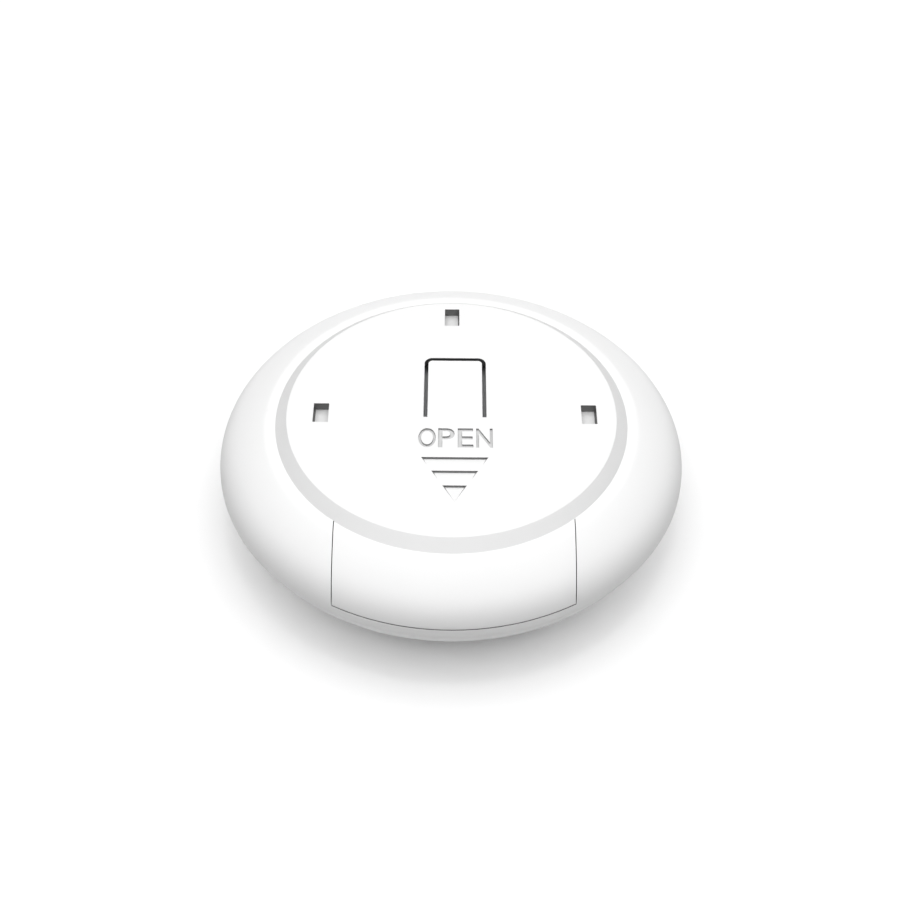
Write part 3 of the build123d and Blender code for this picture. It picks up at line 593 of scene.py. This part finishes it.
def draftWalls(v, look):
    # slopes the side walls of the arrow's wedges and the outer walls of the slots
    place = v.co / mm
    if inZone(look["arrowZone"], place) and look["barLow"] < place.z < look["face"] - 0.02:
        v.co.x -= math.copysign(look["barDraft"], place.x - look["slideX"]) * mm
        v.co.z = (look["face"] - (look["face"] - place.z) * look["barDepth"]) * mm
    halfX, halfY = look["slotHalf"]
    for slotX, slotY, side in look["slotPlaces"]:
        atWall = abs(place.x - slotX - side * halfX) < 0.05 and abs(place.y - slotY) < halfY + 0.05
        if atWall and place.z < look["slotLow"]:
            v.co.x -= side * look["slotDraft"] * mm


def lowerSkirt(v, look):
    drop = (look["skirtZ"] - look["crestZ"]) * mm
    reach = math.hypot(v.co.x, v.co.y)
    if abs(v.co.z - look["skirtZ"] * mm) < 0.01 * mm and reach > look["skirtRadius"] * mm:
        v.co.x *= 1 + drop * look["edgeSlope"] / reach
        v.co.y *= 1 + drop * look["edgeSlope"] / reach
        v.co.z -= drop


def makeCover(look):
    cover = mergedCopy("battery_cover", "coverMoulding")
    for v in cover.data.vertices:
        lowerSkirt(v, look)
        draftWalls(v, look)
    cutAway(cover, wordCutter(look, cadBox[1].z))

    def keep(edge):
        places = [v.co / mm for v in edge.verts]
        atRoot = all(abs(p.y - look["rootY"]) < 0.01 for p in places)
        if atRoot and all(abs(p.x - look["slideX"]) < look["rootHalf"] for p in places):
            return True
        inWord = all(inZone(look["wordZone"], p) for p in places)
        inArrow = all(inZone(look["arrowZone"], p) for p in places)
        atSeam = all(p.y < look["sectorY"] + 0.1 for p in places) and abs(places[0].x - places[1].x) < 0.02
        return inWord or inArrow or atSeam

    softenEdges(cover, look["edge"] * mm, keep=keep)
    evenNormals(cover)
    shadeFaces(cover, coverShade(look))
    dress(cover, "cover", "white_cover", coverWhite, "battery_cover")


makeCover(coverLook)
print("stage: cover made")

# Tongue: joined to the cover at its root, where it bends
tongueLook = {
    "gap": 0.05,                   # between tongue and cover in the frame, closed here
    "edge": 0.05,
    "bendStart": -1.1,
    "bendEnd": 1.4,
    "loops": 10,                   # cuts across the bend
}


def makeTongue(look, shades):
    tongue = mergedCopy("latch_tongue", "latchTongue")
    low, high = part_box("latch_tongue")
    for v in tongue.data.vertices:
        if v.co.y < low.y + 0.01 * mm:
            v.co.y -= look["gap"] * mm
    rootY = low.y - look["gap"] * mm

    def keep(edge):
        return max(v.co.y for v in edge.verts) < rootY + 0.01 * mm

    softenEdges(tongue, look["edge"] * mm, keep=keep)
    work = bmesh.new()
    work.from_mesh(tongue.data)
    span = (look["bendEnd"] - look["bendStart"]) * mm
    for number in range(1, look["loops"] + 1):
        place = rootY + span * number / look["loops"]
        everything = work.verts[:] + work.edges[:] + work.faces[:]
        bmesh.ops.bisect_plane(work, geom=everything, plane_co=(0, place, 0), plane_no=(0, 1, 0))
    work.to_mesh(tongue.data)
    work.free()
    evenNormals(tongue)

    # painted shade on the tongue's walls, darker towards the tip
    def rule(centre, normal):
        if abs(normal.z) > 0.5 or centre.z > shades["face"] - shades["faceDepth"]:
            return 0.0
        return shades["tipShade"] if centre.y > shades["paintedShadeTipY"] else shades["sideShade"]

    shadeFaces(tongue, rule)
    tongue.data.materials.clear()
    tongue.data.materials.append(coverWhite)
    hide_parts("latch_tongue")
    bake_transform(tongue)


makeTongue(tongueLook, coverLook)

# Rear housing
# the shade values are painted shade, 0 to 1, in the seam and on the slot floors
housingLook = {
    "edge": 0.05,
    "notchZ": 11.1,                # floor of the notch that the cover's sector fills
    "notchY": -17.4,               # its side walls lie in front of this
    "notchReach": 25.0,
    "seamShade": 0.85,
    "seamStrip": 0.4,              # width of the notch floor's edge that shows in the seam and takes painted shade
    "stripRadius": 31.6,
    "deckZ": 16.65,
    "slotFloorShade": 0.2,         # painted shade of the deck where it shows through the cover's slots
}


def flatAt(centre, normal, height):
    return normal.z > 0.97 and abs(centre.z - height) < 0.02


def facesAt(work, height, reach=0.0):
    faces = []
    for face in work.faces:
        centre = face.calc_center_median() / mm
        if flatAt(centre, face.normal, height) and centre.xy.length > reach:
            faces.append(face)
    return faces


def markSlots(work, look, slots):
    # parts the deck under each slot from the rest of it, for the painted shade there
    halfX, halfY = slots["slotHalf"]
    for x, y, side in slots["slotPlaces"]:
        for point, normal in (
            ((x - halfX, 0, 0), (1, 0, 0)),
            ((x + halfX, 0, 0), (1, 0, 0)),
            ((0, y - halfY, 0), (0, 1, 0)),
            ((0, y + halfY, 0), (0, 1, 0)),
        ):
            deck = facesAt(work, look["deckZ"])
            edges = dict.fromkeys(edge for face in deck for edge in face.edges)
            verts = dict.fromkeys(vert for face in deck for vert in face.verts)
            everything = [*verts, *edges, *deck]
            bmesh.ops.bisect_plane(work, geom=everything, plane_co=Vector(point) * mm, plane_no=normal)


def housingShade(look, slots):
    def underSlot(centre):
        halfX, halfY = slots["slotHalf"]
        for x, y, side in slots["slotPlaces"]:
            if abs(centre.x - x) < halfX and abs(centre.y - y) < halfY:
                return True
        return False

    def rule(centre, normal):
        if flatAt(centre, normal, look["deckZ"]):
            return look["slotFloorShade"] if underSlot(centre) else 0.0
        sideWall = abs(normal.x) > 0.97 and centre.y < look["notchY"] and centre.z > look["notchZ"]
        strip = flatAt(centre, normal, look["notchZ"]) and centre.xy.length > look["stripRadius"]
        return look["seamShade"] if sideWall or strip else 0.0

    return rule


def makeHousing(look):
    housing = mergedCopy("rear_housing", "rearMoulding")
    work = bmesh.new()
    work.from_mesh(housing.data)
    markSlots(work, look, coverLook)
    floor = facesAt(work, look["notchZ"], look["notchReach"])
    bmesh.ops.inset_region(work, faces=floor, thickness=look["seamStrip"] * mm, use_even_offset=True)
    work.to_mesh(housing.data)
    work.free()

    def keep(edge):
        places = [v.co / mm for v in edge.verts]
        return all(p.y < look["notchY"] + 0.1 and p.z > look["notchZ"] - 0.05 for p in places)

    softenEdges(housing, look["edge"] * mm, keep=keep)
    evenNormals(housing)
    shadeFaces(housing, housingShade(look, coverLook))
    dress(housing, "case", "white_housing", housingWhite, "rear_housing")


makeHousing(housingLook)
frontEdge = 0.05
front = mergedCopy("front_shell", "frontMoulding")
softenEdges(front, frontEdge * mm)
evenNormals(front)
dress(front, "case", "white_front", frontWhite, "front_shell")
print("stage: shells made")

# Geometry Nodes make what repeats and what is wound

def geometryGroup(name, inputs):
    tree = bpy.data.node_groups.new(name, "GeometryNodeTree")
    for label, kind, value in inputs:
        addSocket(tree, label, "NodeSocket" + kind, "INPUT", value)
    addSocket(tree, "Geometry", "NodeSocketGeometry", "OUTPUT")
    source = tree.nodes.new("NodeGroupInput")
    result = tree.nodes.new("NodeGroupOutput")
    return tree, source.outputs, result.inputs["Geometry"]


def addNode(tree, kind, inputs, **settings):
    # inputs are values, the socket that feeds one, or a list of sockets where several do
    node = tree.nodes.new(kind)
    for label, value in settings.items():
        setattr(node, label, value)
    for label, value in inputs.items():
        if isinstance(value, bpy.types.NodeSocket):
            value = [value]
        if isinstance(value, list):
            for socket in value:
                tree.links.new(socket, node.inputs[label])
        else:
            node.inputs[label].default_value = value
    return node.outputs[0]


def arithmetic(tree, operation, first, second=0.0):
    return addNode(tree, "ShaderNodeMath", {0: first, 1: second}, operation=operation)


def heightOf(tree):
    place = addNode(tree, "GeometryNodeInputPosition", {})
    split = tree.nodes.new("ShaderNodeSeparateXYZ")
    tree.links.new(place, split.inputs[0])
    return place, split.outputs["Z"]


def narrowed(tree, shape, place, share):
    # pulls a shape's points in towards its own axis
    factors = addNode(tree, "ShaderNodeCombineXYZ", {"X": share, "Y": share, "Z": 1.0})
    pulled = addNode(tree, "ShaderNodeVectorMath", {0: place, 1: factors}, operation="MULTIPLY")
    return addNode(tree, "GeometryNodeSetPosition", {"Geometry": shape, "Position": pulled})


def lowered(tree, shape, distance):
    down = arithmetic(tree, "MULTIPLY", distance, -1.0)
    move = addNode(tree, "ShaderNodeCombineXYZ", {"Z": down})
    return addNode(tree, "GeometryNodeTransform", {"Geometry": shape, "Translation": move})


def woundWire(tree, turns, startRadius, endRadius, height, wireRadius, sides, steps, reverse=False):
    path = addNode(tree, "GeometryNodeCurveSpiral", {
        "Resolution": steps,
        "Rotations": turns,
        "Start Radius": startRadius,
        "End Radius": endRadius,
        "Height": height,
        "Reverse": reverse,
    })
    ring = addNode(tree, "GeometryNodeCurvePrimitiveCircle", {"Resolution": sides, "Radius": wireRadius})
    return addNode(tree, "GeometryNodeCurveToMesh", {
        "Curve": path,
        "Profile Curve": ring,
        "Fill Caps": True,
    })


def buildPanScrew():
    # pan head with a cross recess, a core with a blunt tip, and a thread wound round it
    tree, source, result = geometryGroup("panScrew", [
        ("Places", "Geometry", None),
        ("Head Radius", "Float", 0.0019),
        ("Head Height", "Float", 0.0013),
        ("Core Radius", "Float", 0.0009),
        ("Thread Radius", "Float", 0.0011),
        ("Shank Length", "Float", 0.008),
        ("Pitch", "Float", 0.0008),
        ("Recess Length", "Float", 0.0022),
        ("Recess Width", "Float", 0.0006),
        ("Recess Depth", "Float", 0.0008),
        ("Turn Seed", "Int", 0),
        ("Metal", "Material", None),
    ])
    blank = addNode(tree, "GeometryNodeMeshCylinder", {
        "Vertices": 40,
        "Side Segments": 8,
        "Radius": source["Head Radius"],
        "Depth": source["Head Height"],
    })
    place, height = heightOf(tree)
    rise = arithmetic(tree, "ADD", arithmetic(tree, "DIVIDE", height, source["Head Height"]), 0.5)
    crown = arithmetic(tree, "MULTIPLY", arithmetic(tree, "POWER", rise, 4.0), -0.5)
    crown = arithmetic(tree, "SQRT", arithmetic(tree, "ADD", crown, 1.0))
    half = arithmetic(tree, "MULTIPLY", source["Head Height"], 0.5)
    head = lowered(tree, narrowed(tree, blank, place, crown), half)
    arms = []
    depth = arithmetic(tree, "MULTIPLY", source["Recess Depth"], 2.0)
    for alongX, alongY in (("Recess Length", "Recess Width"), ("Recess Width", "Recess Length")):
        size = {"X": source[alongX], "Y": source[alongY], "Z": depth}
        arm = addNode(tree, "GeometryNodeMeshCube", {"Size": addNode(tree, "ShaderNodeCombineXYZ", size)})
        place, height = heightOf(tree)
        taper = arithmetic(tree, "MULTIPLY", arithmetic(tree, "DIVIDE", height, depth), 0.6)
        arms.append(narrowed(tree, arm, place, arithmetic(tree, "ADD", taper, 1.0)))
    head = addNode(tree, "GeometryNodeMeshBoolean", {
        "Mesh 1": head,
        "Mesh 2": arms,
    }, operation="DIFFERENCE", solver="EXACT")
    core = addNode(tree, "GeometryNodeMeshCylinder", {
        "Vertices": 24,
        "Side Segments": 8,
        "Radius": source["Core Radius"],
        "Depth": source["Shank Length"],
    })
    place, height = heightOf(tree)
    rise = arithmetic(tree, "ADD", arithmetic(tree, "DIVIDE", height, source["Shank Length"]), 0.5)
    blunt = arithmetic(tree, "ADD", arithmetic(tree, "MULTIPLY", rise, 4.0), 0.5)
    core = narrowed(tree, core, place, arithmetic(tree, "MINIMUM", blunt, 1.0))
    middle = arithmetic(tree, "MULTIPLY", source["Shank Length"], 0.5)
    core = lowered(tree, core, arithmetic(tree, "ADD", middle, half))
    threaded = arithmetic(tree, "MULTIPLY", source["Shank Length"], 0.8)
    thread = woundWire(
        tree,
        arithmetic(tree, "DIVIDE", threaded, source["Pitch"]),
        source["Core Radius"],
        source["Core Radius"],
        threaded,
        arithmetic(tree, "SUBTRACT", source["Thread Radius"], source["Core Radius"]),
        3,
        24,
    )
    thread = lowered(tree, thread, source["Shank Length"])
    screw = addNode(tree, "GeometryNodeJoinGeometry", {"Geometry": [head, core, thread]})
    turn = addNode(tree, "FunctionNodeRandomValue", {
        "Max": (0.0, 0.0, math.pi / 2),
        "Seed": source["Turn Seed"],
    }, data_type="FLOAT_VECTOR")
    screws = addNode(tree, "GeometryNodeInstanceOnPoints", {
        "Points": source["Places"],
        "Instance": screw,
        "Rotation": turn,
    })
    screws = addNode(tree, "GeometryNodeRealizeInstances", {"Geometry": screws})
    screws = addNode(tree, "GeometryNodeSetMaterial", {"Geometry": screws, "Material": source["Metal"]})
    tree.links.new(screws, result)
    return tree


def buildConeSpring():
    tree, source, result = geometryGroup("coneSpring", [
        ("Turns", "Float", 3.0),
        ("Wide Radius", "Float", 0.0028),
        ("Narrow Radius", "Float", 0.0013),
        ("Reach", "Float", 0.0025),
        ("Wire Radius", "Float", 0.00025),
        ("Left Hand", "Bool", False),
        ("Metal", "Material", None),
    ])
    spring = woundWire(
        tree,
        source["Turns"],
        source["Wide Radius"],
        source["Narrow Radius"],
        source["Reach"],
        source["Wire Radius"],
        12,
        40,
        source["Left Hand"],
    )
    spring = addNode(tree, "GeometryNodeRealizeInstances", {"Geometry": spring})
    spring = addNode(tree, "GeometryNodeSetMaterial", {"Geometry": spring, "Material": source["Metal"]})
    tree.links.new(spring, result)
    return tree


def buildChipRows():
    # rows of small parts: a body and a metal cap at each end
    tree, source, result = geometryGroup("chipRows", [
        ("Columns", "Int", 3),
        ("Rows", "Int", 3),
        ("Pitch X", "Float", 0.002),
        ("Pitch Y", "Float", 0.0021),
        ("Width", "Float", 0.0008),
        ("Length", "Float", 0.0016),
        ("Height", "Float", 0.0005),
        ("End Length", "Float", 0.0003),
        ("Ceramic", "Material", None),
        ("Metal", "Material", None),
    ])
    gapsX = arithmetic(tree, "SUBTRACT", source["Columns"], 1.0)
    gapsY = arithmetic(tree, "SUBTRACT", source["Rows"], 1.0)
    grid = addNode(tree, "GeometryNodeMeshGrid", {
        "Size X": arithmetic(tree, "MULTIPLY", source["Pitch X"], gapsX),
        "Size Y": arithmetic(tree, "MULTIPLY", source["Pitch Y"], gapsY),
        "Vertices X": source["Columns"],
        "Vertices Y": source["Rows"],
    })
    bodySize = addNode(tree, "ShaderNodeCombineXYZ", {
        "X": arithmetic(tree, "MULTIPLY", source["Width"], 0.92),
        "Y": arithmetic(tree, "MULTIPLY", source["Length"], 0.92),
        "Z": arithmetic(tree, "MULTIPLY", source["Height"], 0.88),
    })
    body = addNode(tree, "GeometryNodeMeshCube", {"Size": bodySize})
    body = lowered(tree, body, arithmetic(tree, "MULTIPLY", source["Height"], 0.05))
    endSize = addNode(tree, "ShaderNodeCombineXYZ", {
        "X": source["Width"],
        "Y": source["End Length"],
        "Z": source["Height"],
    })
    cap = addNode(tree, "GeometryNodeMeshCube", {"Size": endSize})
    cap = addNode(tree, "GeometryNodeStoreNamedAttribute", {
        "Geometry": cap,
        "Name": "metalEnd",
        "Value": True,
    }, data_type="BOOLEAN", domain="FACE")
    reach = arithmetic(tree, "SUBTRACT", source["Length"], source["End Length"])
    ends = []
    for side in (-0.5, 0.5):
        move = addNode(tree, "ShaderNodeCombineXYZ", {"Y": arithmetic(tree, "MULTIPLY", reach, side)})
        ends.append(addNode(tree, "GeometryNodeTransform", {"Geometry": cap, "Translation": move}))
    chip = addNode(tree, "GeometryNodeJoinGeometry", {"Geometry": [body, *ends]})
    rows = addNode(tree, "GeometryNodeInstanceOnPoints", {"Points": grid, "Instance": chip})
    rows = addNode(tree, "GeometryNodeRealizeInstances", {"Geometry": rows})
    rows = addNode(tree, "GeometryNodeSetMaterial", {"Geometry": rows, "Material": source["Ceramic"]})
    atEnds = addNode(tree, "GeometryNodeInputNamedAttribute", {"Name": "metalEnd"}, data_type="BOOLEAN")
    rows = addNode(tree, "GeometryNodeSetMaterial", {
        "Geometry": rows,
        "Selection": atEnds,
        "Material": source["Metal"],
    })
    tree.links.new(rows, result)
    return tree


def grow(name, tree, values, places=()):
    # runs a tree on the points given and keeps the result as a plain mesh
    mesh = bpy.data.meshes.new(name)
    mesh.from_pydata(places, [], [])
    piece = link(bpy.data.objects.new(name, mesh))
    modifier = piece.modifiers.new(name, "NODES")
    modifier.node_group = tree
    for item in tree.interface.items_tree:
        if item.in_out == "INPUT" and item.name in values:
            modifier[item.identifier] = values[item.name]
    return applyModifiers(piece)


def seat(piece, transform, nodeName, angle=30.0):
    piece.data.transform(transform)
    smoothByAngle(piece.data, angle)
    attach(piece, "case")
    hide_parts(nodeName)


screwLook = {
    "Head Radius": 1.9 * mm,
    "Head Height": 1.3 * mm,
    "Core Radius": 0.9 * mm,
    "Thread Radius": 1.1 * mm,
    "Shank Length": 8.65 * mm,
    "Pitch": 0.8 * mm,
    "Recess Length": 2.2 * mm,
    "Recess Width": 0.6 * mm,
    "Recess Depth": 0.8 * mm,
    "Turn Seed": 11,
    "Metal": screwZinc,
}
low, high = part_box("case_screws")
inset = screwLook["Head Radius"]
screwPlaces = []
for x in (low.x + inset, high.x - inset):
    for y in (low.y + inset, high.y - inset):
        screwPlaces.append((x, y, high.z))
screws = grow("caseScrews", buildPanScrew(), screwLook, screwPlaces)
seat(screws, Matrix.Identity(4), "case_screws")

springLook = {
    "Turns": 3.0,
    "Wide Radius": 2.8 * mm,
    "Narrow Radius": 1.3 * mm,
    "Reach": 2.49 * mm,
    "Wire Radius": 0.25 * mm,
    "Metal": springNickel,
    "base": 23.52,                 # of the wide turn, from the middle
}
springTree = buildConeSpring()


def makeSpring(nodeName, pieceName, look, cell, side):
    # side is +1 for the spring at the +Y end; its wide turn lies on the contact there
    low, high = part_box(cell)
    spring = grow(pieceName, springTree, {**look, "Left Hand": side > 0})
    centre = Vector(((low.x + high.x) / 2, side * look["base"] * mm, (low.z + high.z) / 2))
    turn = Matrix.Rotation(math.radians(90 * side), 4, "X")
    seat(spring, Matrix.Translation(centre) @ turn, nodeName)


makeSpring("bridge_spring", "bridgeSpring", springLook, "left_cell_can", -1)
makeSpring("negative_spring", "negativeSpring", springLook, "right_cell_can", 1)

chipLook = {
    "Columns": 3,
    "Rows": 3,
    "Pitch X": 2.0 * mm,
    "Pitch Y": 2.1 * mm,
    "Width": 0.8 * mm,
    "Length": 1.6 * mm,
    "Height": 0.5 * mm,
    "End Length": 0.3 * mm,
    "Ceramic": chipBrown,
    "Metal": lidSteel,
}
low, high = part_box("chip_parts")
chips = grow("chipParts", buildChipRows(), chipLook)
seat(chips, Matrix.Translation((low + high) / 2), "chip_parts")
print("stage: screws, springs and small parts made")

# The other nodes, merged, with rounds on their edges in millimetres
inner = {
    "button_cap": (capWhite, 0.06),
    "light_pipe": (pipeClear, 0.05),
    "actuator_pad": (padRubber, 0.04),
    "switch_base": (switchBlack, 0.05),
    "switch_lid": (lidSteel, 0.03),
    "switch_plunger": (plungerRed, 0.05),
    "circuit_board": (boardGreen, 0.03),
    "radio_module": (moduleBlue, 0.03),
    "shield_can": (lidSteel, 0.06),
    "crystal": (lidSteel, 0.06),
    "status_led": (ledCream, 0.04),
    "positive_contact": (nickel, 0.04),
    "negative_contact": (nickel, 0.04),
    "bridge_contact": (nickel, 0.04),
    "left_cell_can": (canSteel, 0.04),
    "right_cell_can": (canSteel, 0.04),
    "left_cell_nub": (canSteel, 0.06),
    "right_cell_nub": (canSteel, 0.06),
    "left_cell_sleeve": (leftFilm, 0.03),
    "right_cell_sleeve": (rightFilm, 0.03),
    "left_cell_washer": (washerCard, 0.03),
    "right_cell_washer": (washerCard, 0.03),
}
record = frame["record"]
slotOf = {part["node"]: part["material_slot"] for part in record["subparts"]}
bodyOf = {node: body for body, members in record["behaviour"]["bodies"].items() for node in members}
for nodeName, (material, edge) in inner.items():
    first, *others = nodeName.split("_")
    piece = mergedCopy(nodeName, first + "".join(word.title() for word in others) + "Mesh")
    softenEdges(piece, edge * mm)
    evenNormals(piece)
    dress(piece, bodyOf[nodeName], slotOf[nodeName], material, nodeName)
print("stage: inner pieces made")

# Camera at the photograph's angle
cameraLook = {
    "focal": 59.62,
    "sensor": 36.0,
    "place": (-0.165, -145.98, 163.13),
    "right": (0.99997, 0.00561, 0.00536),
    "up": (-0.00776, 0.72318, 0.69068),
}


def makeCamera(look):
    data = bpy.data.cameras.new("camera")
    data.lens = look["focal"]
    data.sensor_width = look["sensor"]
    data.clip_start = 0.01
    data.clip_end = 20.0
    camera = link(bpy.data.objects.new("camera", data))
    right = Vector(look["right"]).normalized()
    back = right.cross(Vector(look["up"])).normalized()
    up = back.cross(right)
    turn = Matrix((right, up, back)).transposed()
    camera.matrix_world = Matrix.Translation(Vector(look["place"]) * mm) @ turn.to_4x4()
    scene.camera = camera


makeCamera(cameraLook)

# Pale floor and soft light
studio = {
    "floorSize": 3.0,
    "floorColour": (0.93, 0.93, 0.93),
    "floorRough": (0.8, 0.9),
    "skyStrength": 0.0,
    "lamps": [
        # name, place, size, power
        ("ceiling", (0.0, 0.0, 1.2), 2.6, 33.0),
        ("overhead", (0.0, 0.0, 1.5), 0.2, 1.2),
        ("rear", (0.0, 0.95, 0.8), 0.6, 0.1),
        ("near", (0.0, -0.95, 0.8), 0.6, 0.5),
        ("left", (-0.95, 0.0, 0.7), 0.6, 0.25),
        ("right", (0.95, 0.0, 0.7), 0.6, 0.25),
    ],
}


def makeFloor(look):
    half = look["floorSize"] / 2
    mesh = bpy.data.meshes.new("floor")
    corners = [(-half, -half, 0), (half, -half, 0), (half, half, 0), (-half, half, 0)]
    mesh.from_pydata(corners, [], [(0, 1, 2, 3)])
    floor = link(bpy.data.objects.new("floor", mesh))
    colour = look["floorColour"]
    mesh.materials.append(plastic("floorWhite", colour, colour, look["floorRough"], grain=400.0, bump=0.0))


def makeLight(look):
    world = bpy.data.worlds.new("studio")
    world.use_nodes = True
    world.node_tree.nodes["Background"].inputs["Color"].default_value = (1.0, 1.0, 1.0, 1.0)
    world.node_tree.nodes["Background"].inputs["Strength"].default_value = look["skyStrength"]
    scene.world = world
    for name, place, size, power in look["lamps"]:
        data = bpy.data.lights.new(name, "AREA")
        data.shape = "DISK"
        data.size = size
        data.energy = power
        lamp = link(bpy.data.objects.new(name, data))
        lamp.location = place
        lamp.rotation_mode = "QUATERNION"
        lamp.rotation_quaternion = (-Vector(place)).to_track_quat("-Z", "Y")
    scene.view_settings.view_transform = "Standard"
    scene.view_settings.look = "None"


makeFloor(studio)
makeLight(studio)
print("stage: studio made")
